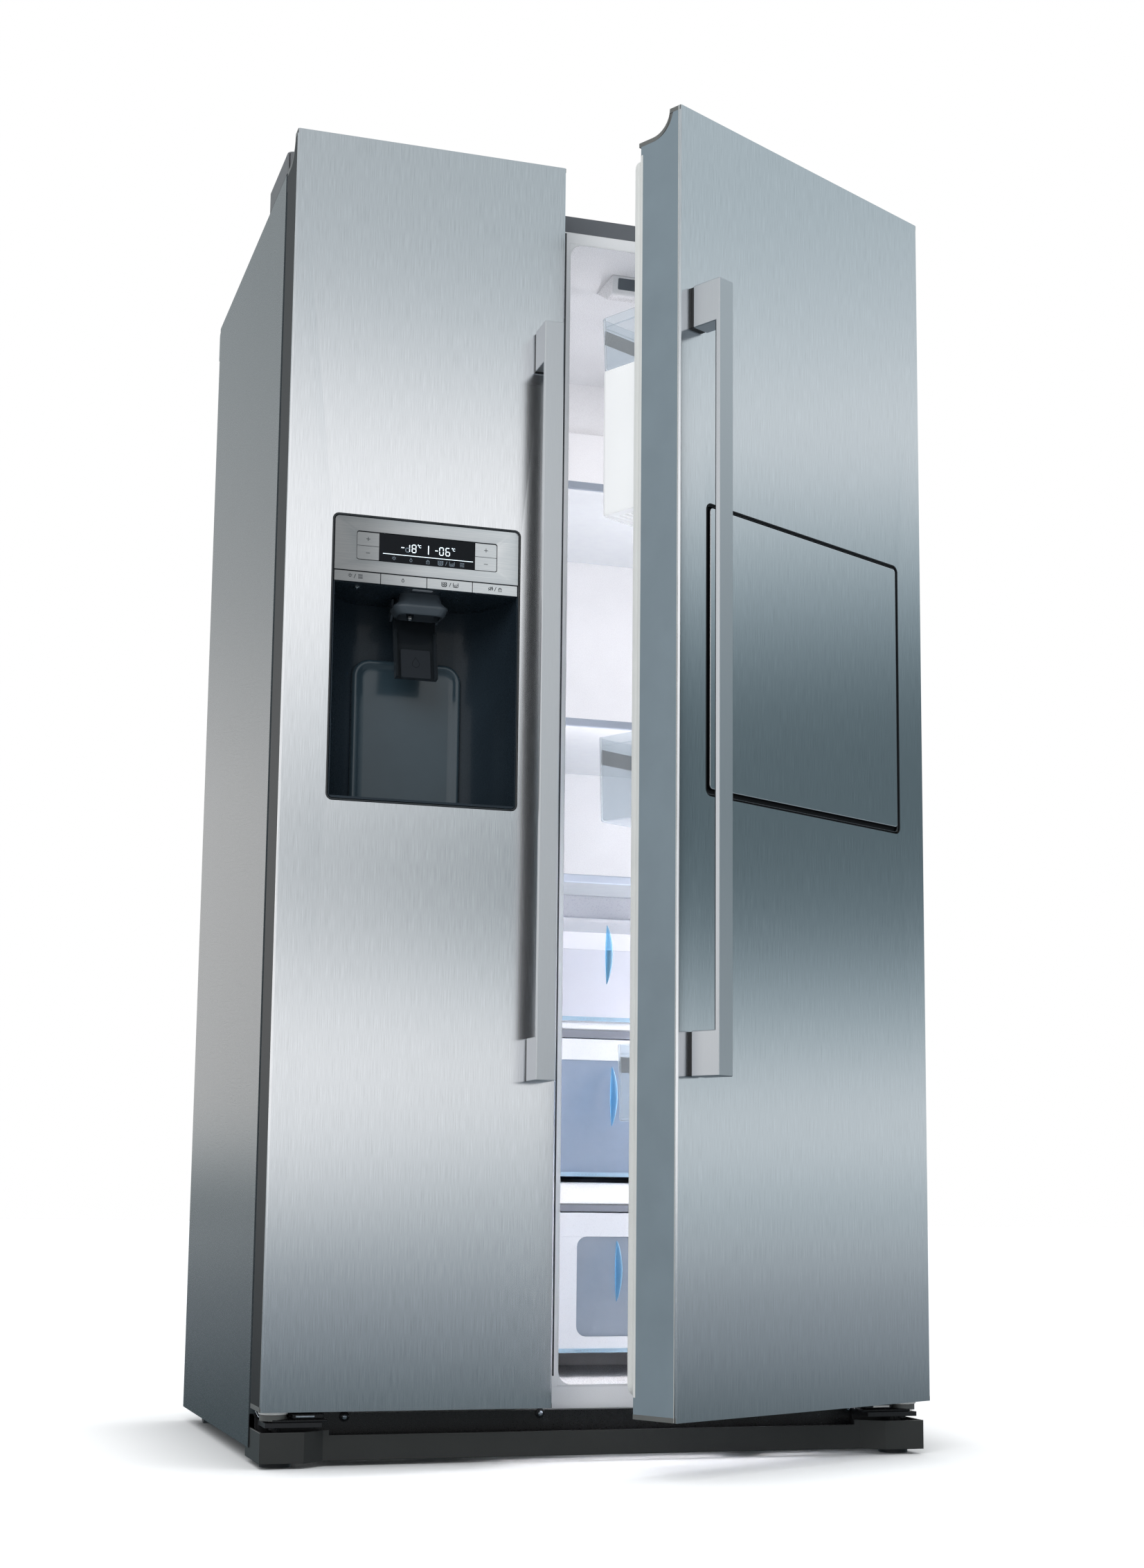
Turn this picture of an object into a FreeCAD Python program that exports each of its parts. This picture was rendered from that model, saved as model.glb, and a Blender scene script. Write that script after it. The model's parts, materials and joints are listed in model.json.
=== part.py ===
import FreeCAD, Part
import math
import os

# Side by side refrigerator: freezer behind the narrow left door with a water and ice dispenser, fridge
# behind the wide right door with a drop-down home bar.  All sizes are millimetres.
# X runs to the right, Y to the back, Z up from the floor.  While the parts are made, Y = 0 is the front
# face of the closed doors and X = 0 is the middle of the cabinet.  On export everything moves along Y so
# that the origin is under the middle of the whole object, with the fridge door standing ajar.

# ---- driving dimensions: cabinet ----
BODY_WIDTH = 910.0
BODY_TOP = 1730.0
BODY_REAR = 671.0
SIDE_BOTTOM = 20.0
SHEET = 1.2
FRONT_RETURN = 16.0
TOP_BAND = 24.0
SIDE_WALL = 50.0
TOP_WALL = 40.0
BACK_WALL = 56.0
MULLION_WIDTH = 50.0
LINER = 1.5
LINER_CORNER = 18.0
FLOOR_Z = 91.0
MACHINE_DEPTH = 190.0
MACHINE_TOP = 236.0
MACHINE_WALL = 54.0
SPACER_DEPTH = 19.0
SPACER_WIDTH = 24.0
SPACER_HEIGHT = 48.0
SPACER_DROP = 2.0

# ---- doors ----
DOOR_BOTTOM = 70.0
DOOR_RISE = 30.0
DOOR_TOP = BODY_TOP + DOOR_RISE
DOOR_DEPTH = 72.0
FREEZER_DOOR_WIDTH = 378.0
DOOR_GAP = 15.0
FRIDGE_DOOR_WIDTH = BODY_WIDTH - FREEZER_DOOR_WIDTH - DOOR_GAP
DOOR_SHEET = 1.0
DOOR_EDGE_RADIUS = 2.5
GASKET_DEPTH = 11.7
GASKET_WIDTH = 14.0
GASKET_INSET = 2.0
SEAL_GAP = 0.3
SCOOP_LIP = 20.0
SCOOP_RADIUS = 30.0
CAP_BAND = 6.0
CAP_OVERHANG = 3.0
TOP_CAP_BLOCK = 18.0
BOTTOM_CAP = 26.0
DOOR_LINER = 4.0
OPEN_ANGLE = 27.75
DYKE_WIDTH = 14.0
DYKE_DEPTH = 43.0
DYKE_HINGE_GAP = 7.0
DYKE_FREE_GAP = 24.0
DYKE_END = 40.0
DYKE_TRIM = 0.5
FRIDGE_DYKE_GAP = 14.0

# ---- hinges ----
HINGE_INSET_X = 22.0
HINGE_INSET_Y = 32.0
PIN_RADIUS = 5.0
PIN_CLEARANCE = 0.07
ARM_RISE = 21.0
ARM_Z = BODY_TOP + ARM_RISE
ARM_THICKNESS = 4.0
ARM_WIDTH = 16.0
ARM_REACH = 45.0
HINGE_BASE_START = 100.0
HINGE_BASE_LENGTH = 90.0
BOSS_RADIUS = 9.0
KNUCKLE_HEIGHT = 11.0
UPPER_PIN_DEPTH = 37.0
LOWER_PLATE_Z = 50.0
LOWER_PLATE = 6.0
LOWER_PLATE_WIDTH = 72.0
LOWER_PLATE_FRONT = 14.0
LOWER_PIN_ENGAGE = 24.0
BUSH_RADIUS = 17.0
BUSH_GAP = 2.0
COVER_FRONT = 73.0
COVER_REAR = 222.0
COVER_WIDTH = 79.0
COVER_RISE = 30.5
COVER_TOP = BODY_TOP + COVER_RISE
COVER_WALL = 2.0
COVER_GAP = 0.5

# ---- handles ----
HANDLE_BOTTOM = 487.0
HANDLE_TOP = 1513.5
HANDLE_WIDTH = 27.0
HANDLE_STANDOFF = 50.0
HANDLE_BAR = 6.5
HANDLE_POST = 57.0
HANDLE_INSET = 15.5
FRIDGE_HANDLE_INSET = 19.5

# ---- dispenser ----
DISPENSER_OFFSET = 61.0
DISPENSER_FREE_SIDE = 58.0
DISPENSER_WIDTH = FREEZER_DOOR_WIDTH - DISPENSER_OFFSET - DISPENSER_FREE_SIDE
DISPENSER_BOTTOM = 845.0
DISPENSER_TOP = 1231.0
DISPENSER_CORNER = 9.0
TRIM_WIDTH = 3.5
TRIM_DEPTH = 10.0
PANEL_LINE = 1.0
KEY_ROW_BOTTOM = 1139.0
KEY_ROW_HEIGHT = 15.0
KEY_GAP = 0.8
KEY_DEPTH = 4.0
KEY_PROUD = 0.2
PANEL_THICKNESS = 5.0
CAVITY_DEPTH = 112.0
CAVITY_STRAIGHT = 8.0
CAVITY_FLAT = 132.0
HOUSING_WALL = 3.0
DISPLAY_WIDTH = 131.0
DISPLAY_BOTTOM = 1170.0
DISPLAY_HEIGHT = 38.5
TEMP_KEY_WIDTH = 30.0
SPOUT_WIDTH = 76.0
SPOUT_TAPER = 4.0
SPOUT_HEIGHT = 30.0
SPOUT_FRONT = 20.0
SPOUT_DEPTH = 46.0
SPOUT_WALL = 2.5
PADDLE_WIDTH = 58.0
PADDLE_BOTTOM = 1024.0
PADDLE_PIVOT_Z = 1116.0
PADDLE_PIVOT_Y = 74.0
PADDLE_THICKNESS = 3.0
PADDLE_RIM = 8.0
PADDLE_PIN = 2.5
PADDLE_LEAN = 12.0
PADDLE_PAD_WIDTH = 42.0
PADDLE_PAD_HEIGHT = 43.0
BACK_PLATE_WIDTH = 153.0
BACK_PLATE_TOP = 1062.0
BACK_PLATE_CORNER = 25.0
BACK_PLATE_PROUD = 3.5
KEY_SHEET = 2.0
DISPLAY_SINK = 0.4
CARRIER_DEPTH = 12.0
NOZZLE_SIDE = 13.0
NOZZLE_BACK = 20.0
NOZZLE_RADIUS = 4.5
NOZZLE_BORE = 2.5
NOZZLE_DROP = 4.0
PAD_CORNER = 2.0
BULGE_WALL = 4.0
BULGE_GAP = 12.0

# ---- home bar ----
BAR_HINGE_SIDE = 55.0
BAR_FREE_SIDE = 51.0
BAR_WIDTH = FRIDGE_DOOR_WIDTH - BAR_HINGE_SIDE - BAR_FREE_SIDE
BAR_BOTTOM = 845.0
BAR_TOP = 1231.0
BAR_CORNER = 10.0
BAR_GROOVE = 5.0
BAR_FRAME_DEPTH = 6.0
BAR_FLAP_SHEET = 5.0
BAR_BLOCK_INSET = 14.0
BAR_BLOCK_DEPTH = 34.0
BAR_PIN = 2.0
BAR_PIN_Y = 3.0
BAR_PIN_RISE = 5.0
BAR_PLATE_DROP = 2.5
BAR_SILL_GAP = 0.6
BAR_BLOCK_GAP = 3.0
BAR_HEEL_ROUND = 2.0

# ---- interior ----
SHELF_FRONT = 205.0
SHELF_BACK = 600.0
SHELF_GLASS = 4.0
SHELF_TRIM_HEIGHT = 12.0
SHELF_TRIM_DEPTH = 10.0
SHELF_SIDE_GAP = 0.6
LEDGE_WIDTH = 9.0
LEDGE_HEIGHT = 7.0
FRIDGE_SHELF_DROPS = (354.0, 709.0)
CRISPER_SHELF = 793.0
FRIDGE_SHELVES = tuple(BODY_TOP - drop for drop in FRIDGE_SHELF_DROPS) + (CRISPER_SHELF,)
CRISPER_LID_TOP = 767.0
CRISPER_TRIM_HEIGHT = 33.0
FREEZER_SHELF_DROPS = (558.0, 830.0)
FREEZER_LOW_SHELF = 612.0
FREEZER_SHELVES = tuple(BODY_TOP - drop for drop in FREEZER_SHELF_DROPS) + (FREEZER_LOW_SHELF,)
DIVIDER_TOPS = (586.0, 360.0)
DIVIDER_HEIGHTS = (12.0, 31.0)
DRAWER_FRONT = 196.0
DRAWER_WALL = 2.5
DRAWER_SIDE_GAP = 6.0
DRAWER_HINGE_GAP = 21.5
DRAWER_SEAT_GAP = 0.3
DRAWER_BACK = 540.0
RUNNER_GRIP = 8.0
RUNNER_HEIGHT = 6.0
DRAWER_CORNER = 12.0
DRAWER_HANDLE_WIDTH = 12.0
DRAWER_HANDLE_PROUD = 12.0
DRAWER_HANDLE_X = 70.0
TOP_DRAWER_TOP = 728.0
MIDDLE_DRAWER = (368.0, 561.0)
BOTTOM_DRAWER = (126.0, 318.0)
BOTTOM_DRAWER_DEPTH = 172.0
FREEZER_DRAWER = (346.0, 560.0)
FREEZER_DRAWER_DEPTH = 300.0
BIN_WALL = 2.5
BIN_CORNER = 14.0
FREEZER_BIN_DEPTH = 93.0
FREEZER_BINS = ((150.0, 250.0), (480.0, 580.0), (1290.0, 1380.0), (1500.0, 1590.0))
FRIDGE_BINS = ((436.0, 535.0, 80.0), (831.0, 945.0, 118.0), (1455.0, 1530.0, 118.0))
STORAGE_BOX = (1250.0, 1453.0)
STORAGE_BOX_DEPTH = 115.0

# ---- base, plinth, feet and rollers ----
PAN_Z = 30.0
PAN_SHEET = 1.5
CROSSBAR_DEPTH = 14.0
CROSSBAR_TOP = 61.5
CROSSBAR_WALL = 2.0
RAIL_TOP = 90.0
PLINTH_FRONT = 8.0
PLINTH_BOTTOM = 7.0
PLINTH_TOP = 45.0
PLINTH_PANEL_TOP = 38.5
PLINTH_SET_BACK = 22.0
PLINTH_BLOCK = 56.0
PLINTH_SLOPE = 28.0
PLINTH_NOTCH = 8.0
PLINTH_SIDE = 105.0
PLINTH_WALL = 2.5
PLINTH_SIDE_GAP = 1.8
FOOT_RADIUS = 20.0
FOOT_HEIGHT = 10.0
FOOT_INSET_X = 29.0
FOOT_Y = 48.0
FOOT_STEM = 5.0
FOOT_STEM_CLEARANCE = 0.06
ROLLER_RADIUS = 14.0
ROLLER_WIDTH = 22.0
ROLLER_INSET = 23.0
ROLLER_REAR_INSET = 51.0
AXLE_RADIUS = 4.0
AXLE_CLEARANCE = 0.06
BRACKET_SHEET = 2.0
BRACKET_GAP = 1.5

# ---- cooling system ----
COMPRESSOR_INSET = 205.0
COMPRESSOR_X = COMPRESSOR_INSET - BODY_WIDTH / 2
COMPRESSOR_RADIUS = 74.0
COMPRESSOR_HEIGHT = 140.0
COMPRESSOR_FOOT = 14.0
CONDENSER_X = 60.0
CONDENSER_FINS = 14
FIN_PITCH = 10.0
FIN_SHEET = 2.0
TUBE_RADIUS = 4.0
FAN_RADIUS = 56.0
FAN_HUB = 16.0
FAN_WIDTH = 20.0
FAN_SHAFT = 3.0
FAN_SHAFT_CLEARANCE = 0.05
FAN_BLADES = 5
BLADE_TIP = 22.0
SHROUD_CLEARANCE = 4.0
DUCT_FRONT = 540.0
DUCT_SHEET = 3.0
DUCT_DROP = 230.0
DUCT_TOP = BODY_TOP - DUCT_DROP
EVAPORATOR = (330.0, 620.0)
EVAPORATOR_FAN_Z = 760.0
EVAPORATOR_SIDE = 18.0
EVAPORATOR_TUBES = 6
EVAPORATOR_TUBE_RISE = 30.0
EVAPORATOR_TUBE_PITCH = 46.0
GRILLE_WIDTH = 180.0
GRILLE_SLOT = 8.0
GRILLE_DROPS = (450.0, 420.0, 170.0, 140.0, 110.0)
GUARD_HALF = 3.0
COLUMN_WIDTH = 150.0
COLUMN_RISE = 120.0
COLUMN_DROP = 90.0
COLUMN_CORNER = 10.0
VENT_WIDTH = 90.0
VENT_HEIGHT = 7.0
VENT_PITCH = 20.0
VENT_RISE = 350.0
VENT_ROW_PITCH = 210.0
CEILING_SIDE = 92.0
CEILING_FRONT = 165.0
CEILING_NOSE = 13.0
CEILING_DROP = 28.0
CEILING_BACK = 145.0
CEILING_BACK_DROP = 20.0
CEILING_TAIL = 10.0
ICE_BUCKET_HEIGHT = 230.0
ICE_BUCKET_SHORT = 30.0
ICE_MAKER_DEPTH = (45.0, 285.0)
ICE_MAKER_RISE = (270.0, 370.0)
ICE_MAKER_SHORT = 70.0
ICE_MAKER_CORNER = 10.0
VALVE_INSET = 55.0
VALVE_X = VALVE_INSET - BODY_WIDTH / 2
VALVE_Z = 120.0
VALVE_WIDTH = 44.0
VALVE_DEPTH = 42.0
VALVE_SPACE = 6.0
VALVE_HEAD = 20.0
VALVE_BORE = 14.0
INLET_RADIUS = 13.2
INLET_LENGTH = 12.0
GLAND_RADIUS = 9.0
GLAND_INSET = 60.0
LOUVRE_WIDTH = 160.0
LOUVRE_MIDDLES = (-95.0, 190.0)
LOUVRE_HEIGHT = 5.0
LOUVRE_PITCH = 16.0
LOUVRE_RISE = 25.0
LOUVRE_COUNT = 10

# ---- places that follow from the sizes above ----
half_width = BODY_WIDTH / 2
cabinet_front = DOOR_DEPTH + GASKET_DEPTH + SEAL_GAP
inner_half = half_width - SHEET
freezer_door = (-half_width, -half_width + FREEZER_DOOR_WIDTH)
fridge_door = (half_width - FRIDGE_DOOR_WIDTH, half_width)
mullion_middle = (freezer_door[1] + fridge_door[0]) / 2
mullion = (mullion_middle - MULLION_WIDTH / 2, mullion_middle + MULLION_WIDTH / 2)
freezer_box = (-half_width + SIDE_WALL, mullion[0])
fridge_box = (mullion[1], half_width - SIDE_WALL)
liner_back = BODY_REAR - BACK_WALL
liner_top = BODY_TOP - TOP_WALL
machine_front = BODY_REAR - MACHINE_DEPTH
step_y = machine_front - MACHINE_WALL
step_z = MACHINE_TOP + MACHINE_WALL
foam_front = cabinet_front + LINER
pan_top = PAN_Z + PAN_SHEET
hinge_x = half_width - HINGE_INSET_X
crossbar_front = cabinet_front - CROSSBAR_DEPTH
dispenser_x = (freezer_door[0] + DISPENSER_OFFSET, freezer_door[0] + DISPENSER_OFFSET + DISPENSER_WIDTH)
bar_x = (fridge_door[1] - BAR_HINGE_SIDE - BAR_WIDTH, fridge_door[1] - BAR_HINGE_SIDE)
door_back = DOOR_DEPTH - DOOR_LINER
freezer_dykes = (freezer_box[0] + LINER + DYKE_HINGE_GAP - DYKE_TRIM, freezer_box[1] - LINER - DYKE_FREE_GAP)
fridge_dykes = (fridge_box[0] + LINER + FRIDGE_DYKE_GAP, fridge_box[1] - LINER - DYKE_HINGE_GAP + DYKE_TRIM)
machine_rear = BODY_REAR - SHEET


def turned(x, y):
    """Where a point of the closed fridge door lies when the door stands ajar."""
    angle = math.radians(OPEN_ANGLE)
    dx = x - hinge_x
    dy = y - HINGE_INSET_Y
    return (hinge_x + dx * math.cos(angle) - dy * math.sin(angle),
            HINGE_INSET_Y + dx * math.sin(angle) + dy * math.cos(angle))


front_most = turned(fridge_door[0] + FRIDGE_HANDLE_INSET, -HANDLE_STANDOFF)[1]
origin_y = (BODY_REAR + SPACER_DEPTH + front_most) / 2


# ---- shape helpers ----
def box(x, y, z):
    return Part.makeBox(x[1] - x[0], y[1] - y[0], z[1] - z[0], FreeCAD.Vector(x[0], y[0], z[0]))


def along(edge, axis):
    """Whether a straight edge runs along the given axis (0, 1 or 2)."""
    ends = [v.Point for v in edge.Vertexes]
    return len(ends) == 2 and abs(abs((ends[1] - ends[0])[axis]) - edge.Length) < 1e-6


def rounded(x, y, z, radius, axis):
    """A box whose four edges along one axis are rounded."""
    solid = box(x, y, z)
    return solid.makeFillet(radius, [e for e in solid.Edges if along(e, axis)])


def rod(centre, axis, radius, low, high):
    """A round bar: centre holds the two other coordinates, in X, Y, Z order."""
    if axis == 0:
        start, direction = FreeCAD.Vector(low, centre[0], centre[1]), FreeCAD.Vector(1, 0, 0)
    elif axis == 1:
        start, direction = FreeCAD.Vector(centre[0], low, centre[1]), FreeCAD.Vector(0, 1, 0)
    else:
        start, direction = FreeCAD.Vector(centre[0], centre[1], low), FreeCAD.Vector(0, 0, 1)
    return Part.makeCylinder(radius, high - low, start, direction)


def prism(points, axis, low, high):
    """A polygon of the two other coordinates, pushed along one axis."""
    places = {
        0: lambda a, b: FreeCAD.Vector(low, a, b),
        1: lambda a, b: FreeCAD.Vector(a, low, b),
        2: lambda a, b: FreeCAD.Vector(a, b, low),
    }
    corners = [places[axis](a, b) for a, b in points]
    face = Part.Face(Part.makePolygon(corners + corners[:1]))
    push = [0, 0, 0]
    push[axis] = high - low
    return face.extrude(FreeCAD.Vector(*push))


def fuse(shapes):
    whole = shapes[0].multiFuse(shapes[1:]) if len(shapes) > 1 else shapes[0]
    return whole.removeSplitter()


def cut(shape, tools):
    return shape.cut(Part.makeCompound(tools))


def mirrored(shape):
    return shape.mirror(FreeCAD.Vector(0, 0, 0), FreeCAD.Vector(1, 0, 0))


def tray(x, y, z, wall, radius):
    """An open-topped box with rounded upright corners."""
    inside = rounded((x[0] + wall, x[1] - wall), (y[0] + wall, y[1] - wall), (z[0] + wall, z[1] + 1),
                     radius - wall, 2)
    return rounded(x, y, z, radius, 2).cut(inside)


def save(name, *shapes):
    """Write a sub-part that stays with the cabinet or the freezer door."""
    whole = Part.makeCompound([s for shape in shapes for s in shape.Solids])
    whole.translate(FreeCAD.Vector(0, -origin_y, 0))
    whole.exportStep("parts/" + name + ".step")


def save_ajar(name, *shapes):
    """Write a sub-part of the fridge door, which is made closed and stands ajar."""
    whole = Part.makeCompound([s for shape in shapes for s in shape.Solids])
    whole.rotate(FreeCAD.Vector(hinge_x, HINGE_INSET_Y, 0), FreeCAD.Vector(0, 0, 1), OPEN_ANGLE)
    whole.translate(FreeCAD.Vector(0, -origin_y, 0))
    whole.exportStep("parts/" + name + ".step")


# ---- cabinet casing ----
def make_casing():
    panel = fuse([
        box((-half_width, -inner_half), (cabinet_front, BODY_REAR), (SIDE_BOTTOM, BODY_TOP)),
        box((-half_width, -half_width + FRONT_RETURN), (cabinet_front, cabinet_front + SHEET),
            (CROSSBAR_TOP, BODY_TOP - TOP_BAND)),
    ])
    save("side_panels", panel, mirrored(panel))

    top = fuse([
        box((-inner_half, inner_half), (cabinet_front, BODY_REAR), (BODY_TOP - SHEET, BODY_TOP)),
        box((-inner_half, inner_half), (cabinet_front, cabinet_front + SHEET), (BODY_TOP - TOP_BAND, BODY_TOP)),
    ])
    save("top_panel", top)

    back = box((-inner_half, inner_half), (machine_rear, BODY_REAR), (MACHINE_TOP, BODY_TOP - SHEET))
    spacer = rounded((-half_width + PLINTH_SIDE_GAP, -half_width + SPACER_WIDTH),
                     (BODY_REAR, BODY_REAR + SPACER_DEPTH),
                     (BODY_TOP - SPACER_DROP - SPACER_HEIGHT, BODY_TOP - SPACER_DROP), 6.0, 0)
    save("back_panel", back, spacer, mirrored(spacer))


def make_breaker_frame():
    """The plastic strip round both openings and the metal rail under them."""
    outer = half_width - FRONT_RETURN
    plate = box((-outer, outer), (cabinet_front, foam_front), (RAIL_TOP, BODY_TOP - TOP_BAND))
    holes = [box(side, (cabinet_front - 1, foam_front + 1), (FLOOR_Z, liner_top))
             for side in (freezer_box, fridge_box)]
    rail = box((-outer, outer), (cabinet_front, foam_front), (CROSSBAR_TOP, RAIL_TOP))
    save("breaker_frame", cut(plate, holes), rail)


def make_insulation():
    """Foam slabs that fill the walls, split into convex blocks."""
    upper_left = box((-inner_half, freezer_box[0]), (foam_front, machine_rear), (MACHINE_TOP, BODY_TOP - SHEET))
    lower_left = box((-inner_half, freezer_box[0]), (foam_front, machine_front), (CROSSBAR_TOP, MACHINE_TOP))
    middle_upper = box(mullion, (foam_front, liner_back), (step_z, liner_top))
    middle_lower = box(mullion, (foam_front, step_y), (FLOOR_Z, step_z))
    between = (freezer_box[0], fridge_box[1])
    top = box(between, (foam_front, machine_rear), (liner_top, BODY_TOP - SHEET))
    back = box(between, (liner_back, machine_rear), (step_z, liner_top))
    shelf = box(between, (step_y, machine_rear), (MACHINE_TOP, step_z))
    wall = box(between, (step_y, machine_front), (pan_top, MACHINE_TOP))
    floor = box(between, (foam_front, step_y), (pan_top, FLOOR_Z))
    save("insulation", upper_left, mirrored(upper_left), lower_left, mirrored(lower_left), middle_upper,
         middle_lower, top, back, shelf, wall, floor)


def drawer_span(side):
    """How wide a drawer is: it stays further from the wall that its door hinges on."""
    gaps = (DRAWER_SIDE_GAP, DRAWER_HINGE_GAP) if side is fridge_box else (DRAWER_HINGE_GAP, DRAWER_SIDE_GAP)
    return (side[0] + LINER + gaps[0], side[1] - LINER - gaps[1])


def runners(side, y, z, root):
    """A pair of rails under a drawer's sides, which reach from the liner walls by root."""
    span = drawer_span(side)
    return [box((side[0] + root, span[0] + RUNNER_GRIP), y, z), box((span[1] - RUNNER_GRIP, side[1] - root), y, z)]


def make_liner(name, side, shelves, back, rails):
    """One compartment's inner box, with its step over the machine space and its shelf ledges."""
    profile = [(cabinet_front, FLOOR_Z), (step_y, FLOOR_Z), (step_y, step_z), (liner_back, step_z),
               (liner_back, liner_top), (cabinet_front, liner_top)]
    room = [(cabinet_front - 1, FLOOR_Z + LINER), (step_y - LINER, FLOOR_Z + LINER),
            (step_y - LINER, step_z + LINER), (liner_back - LINER, step_z + LINER),
            (liner_back - LINER, liner_top - LINER), (cabinet_front - 1, liner_top - LINER)]
    hollow = prism(room, 0, side[0] + LINER, side[1] - LINER)
    deep = [e for e in hollow.Edges if along(e, 1) and e.BoundBox.YMin < cabinet_front]
    shell = prism(profile, 0, side[0], side[1]).cut(hollow.makeFillet(LINER_CORNER, deep))
    ledges = []
    for z in shelves:
        for wall in ((side[0] + LINER / 2, side[0] + LINER + LEDGE_WIDTH),
                     (side[1] - LINER - LEDGE_WIDTH, side[1] - LINER / 2)):
            ledges.append(box(wall, (SHELF_FRONT + SHELF_TRIM_DEPTH, back), (z - LEDGE_HEIGHT, z)))
    save(name, fuse([shell] + ledges + rails))


# ---- hinges ----
def make_hinges():
    pin_at = (-hinge_x, HINGE_INSET_Y)
    knee = (-hinge_x + ARM_REACH, HINGE_INSET_Y + ARM_REACH)
    span = ARM_WIDTH / 2
    slant = span / math.sqrt(2)
    arm_top = ARM_Z + ARM_THICKNESS
    arm = prism([(pin_at[0] - slant, pin_at[1] + slant), (pin_at[0] + slant, pin_at[1] - slant),
                 (knee[0] + slant, knee[1] - slant), (knee[0] - slant, knee[1] + slant)], 2, ARM_Z, arm_top)
    bridge = box((knee[0] - span, knee[0] + span), (knee[1], HINGE_BASE_START + ARM_THICKNESS),
                 (ARM_Z, arm_top))
    riser = box((knee[0] - span, knee[0] + span), (HINGE_BASE_START, HINGE_BASE_START + ARM_THICKNESS),
                (BODY_TOP, arm_top))
    base_end = HINGE_BASE_START + HINGE_BASE_LENGTH
    base = box((pin_at[0], knee[0] + span), (HINGE_BASE_START, base_end), (BODY_TOP, BODY_TOP + ARM_THICKNESS))
    upper = fuse([arm, bridge, riser, base, rod(knee, 2, span, ARM_Z, arm_top),
                  rod(pin_at, 2, BOSS_RADIUS, ARM_Z, arm_top),
                  rod(pin_at, 2, PIN_RADIUS, ARM_Z - UPPER_PIN_DEPTH, ARM_Z)])

    plate_x = (-half_width + BOSS_RADIUS, -half_width + BOSS_RADIUS + LOWER_PLATE_WIDTH)
    plate_top = LOWER_PLATE_Z + LOWER_PLATE
    plate = box(plate_x, (LOWER_PLATE_FRONT, crossbar_front), (LOWER_PLATE_Z, plate_top))
    leg = box(plate_x, (crossbar_front - LOWER_PLATE, crossbar_front), (pan_top, plate_top))
    pin = rod(pin_at, 2, PIN_RADIUS, LOWER_PLATE_Z - ARM_THICKNESS, DOOR_BOTTOM + LOWER_PIN_ENGAGE)
    stem_hole = rod((-half_width + FOOT_INSET_X, FOOT_Y), 2, FOOT_STEM + FOOT_STEM_CLEARANCE,
                    PLINTH_BOTTOM, plate_top + 1)
    lower = fuse([plate, leg, pin]).cut(stem_hole)
    save("hinge_brackets", upper, mirrored(upper), lower, mirrored(lower))

    floor_z = BODY_TOP + COVER_GAP
    outer = rounded((-half_width, -half_width + COVER_WIDTH), (COVER_FRONT, COVER_REAR), (floor_z, COVER_TOP),
                    8.0, 2)
    inner = box((-half_width + COVER_WALL, -half_width + COVER_WIDTH - COVER_WALL),
                (COVER_FRONT + COVER_WALL, COVER_REAR - COVER_WALL), (floor_z - 1, COVER_TOP - COVER_WALL))
    slot = box((knee[0] - 2 * ARM_WIDTH, knee[0] + ARM_WIDTH), (COVER_FRONT - 1, COVER_FRONT + 2 * COVER_WALL),
               (ARM_Z - COVER_WALL / 2, arm_top + COVER_WALL / 2))
    cover = outer.cut(inner).cut(slot)
    knuckle = rod(pin_at, 2, BOSS_RADIUS, arm_top, arm_top + KNUCKLE_HEIGHT)
    save("hinge_covers", cover, mirrored(cover), knuckle, mirrored(knuckle))


# ---- base, plinth, feet, rollers ----
def make_base():
    wide = half_width - SHEET
    narrow = half_width - PLINTH_SIDE_GAP - PLINTH_WALL - BRACKET_GAP
    side_end = PLINTH_FRONT + PLINTH_SIDE + BRACKET_GAP
    pan = fuse([
        box((-narrow, narrow), (crossbar_front, side_end), (PAN_Z, pan_top)),
        box((-wide, wide), (side_end, machine_rear), (PAN_Z, pan_top)),
    ])
    bar = box((-narrow, narrow), (crossbar_front, foam_front), (PAN_Z, CROSSBAR_TOP))
    hollow = box((-narrow - 1, narrow + 1), (crossbar_front + CROSSBAR_WALL, foam_front + 1),
                 (pan_top, CROSSBAR_TOP - CROSSBAR_WALL))
    pieces = [pan, bar.cut(hollow)]
    axle_y = BODY_REAR - ROLLER_REAR_INSET
    middle = half_width - ROLLER_INSET - ROLLER_WIDTH / 2
    for offset in (-1, 1):
        face = middle + offset * (ROLLER_WIDTH / 2 + BRACKET_GAP)
        plate_x = sorted((face, face + offset * BRACKET_SHEET))
        for side in (-1, 1):
            x = sorted((side * plate_x[0], side * plate_x[1]))
            pieces.append(box(x, (axle_y - ROLLER_RADIUS, axle_y + ROLLER_RADIUS),
                              (ROLLER_RADIUS - AXLE_RADIUS - BRACKET_SHEET, PAN_Z)))
    axle_hole = rod((axle_y, ROLLER_RADIUS), 0, AXLE_RADIUS + AXLE_CLEARANCE, -half_width, half_width)
    save("base_pan", fuse(pieces).cut(axle_hole))

    wheel = rod((axle_y, ROLLER_RADIUS), 0, ROLLER_RADIUS, middle - ROLLER_WIDTH / 2, middle + ROLLER_WIDTH / 2)
    axle_end = middle + ROLLER_WIDTH / 2 + BRACKET_GAP + BRACKET_SHEET + BRACKET_GAP
    axle = rod((axle_y, ROLLER_RADIUS), 0, AXLE_RADIUS, -axle_end, axle_end)
    save("rear_rollers", fuse([wheel, mirrored(wheel), axle]))

    centre = (-half_width + FOOT_INSET_X, FOOT_Y)
    pad = rod(centre, 2, FOOT_RADIUS, 0, FOOT_HEIGHT)
    stem = rod(centre, 2, FOOT_STEM, FOOT_HEIGHT, LOWER_PLATE_Z + LOWER_PLATE)
    foot = fuse([pad, stem])
    save("front_foot_left", foot)
    save("front_foot_right", mirrored(foot))


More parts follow.
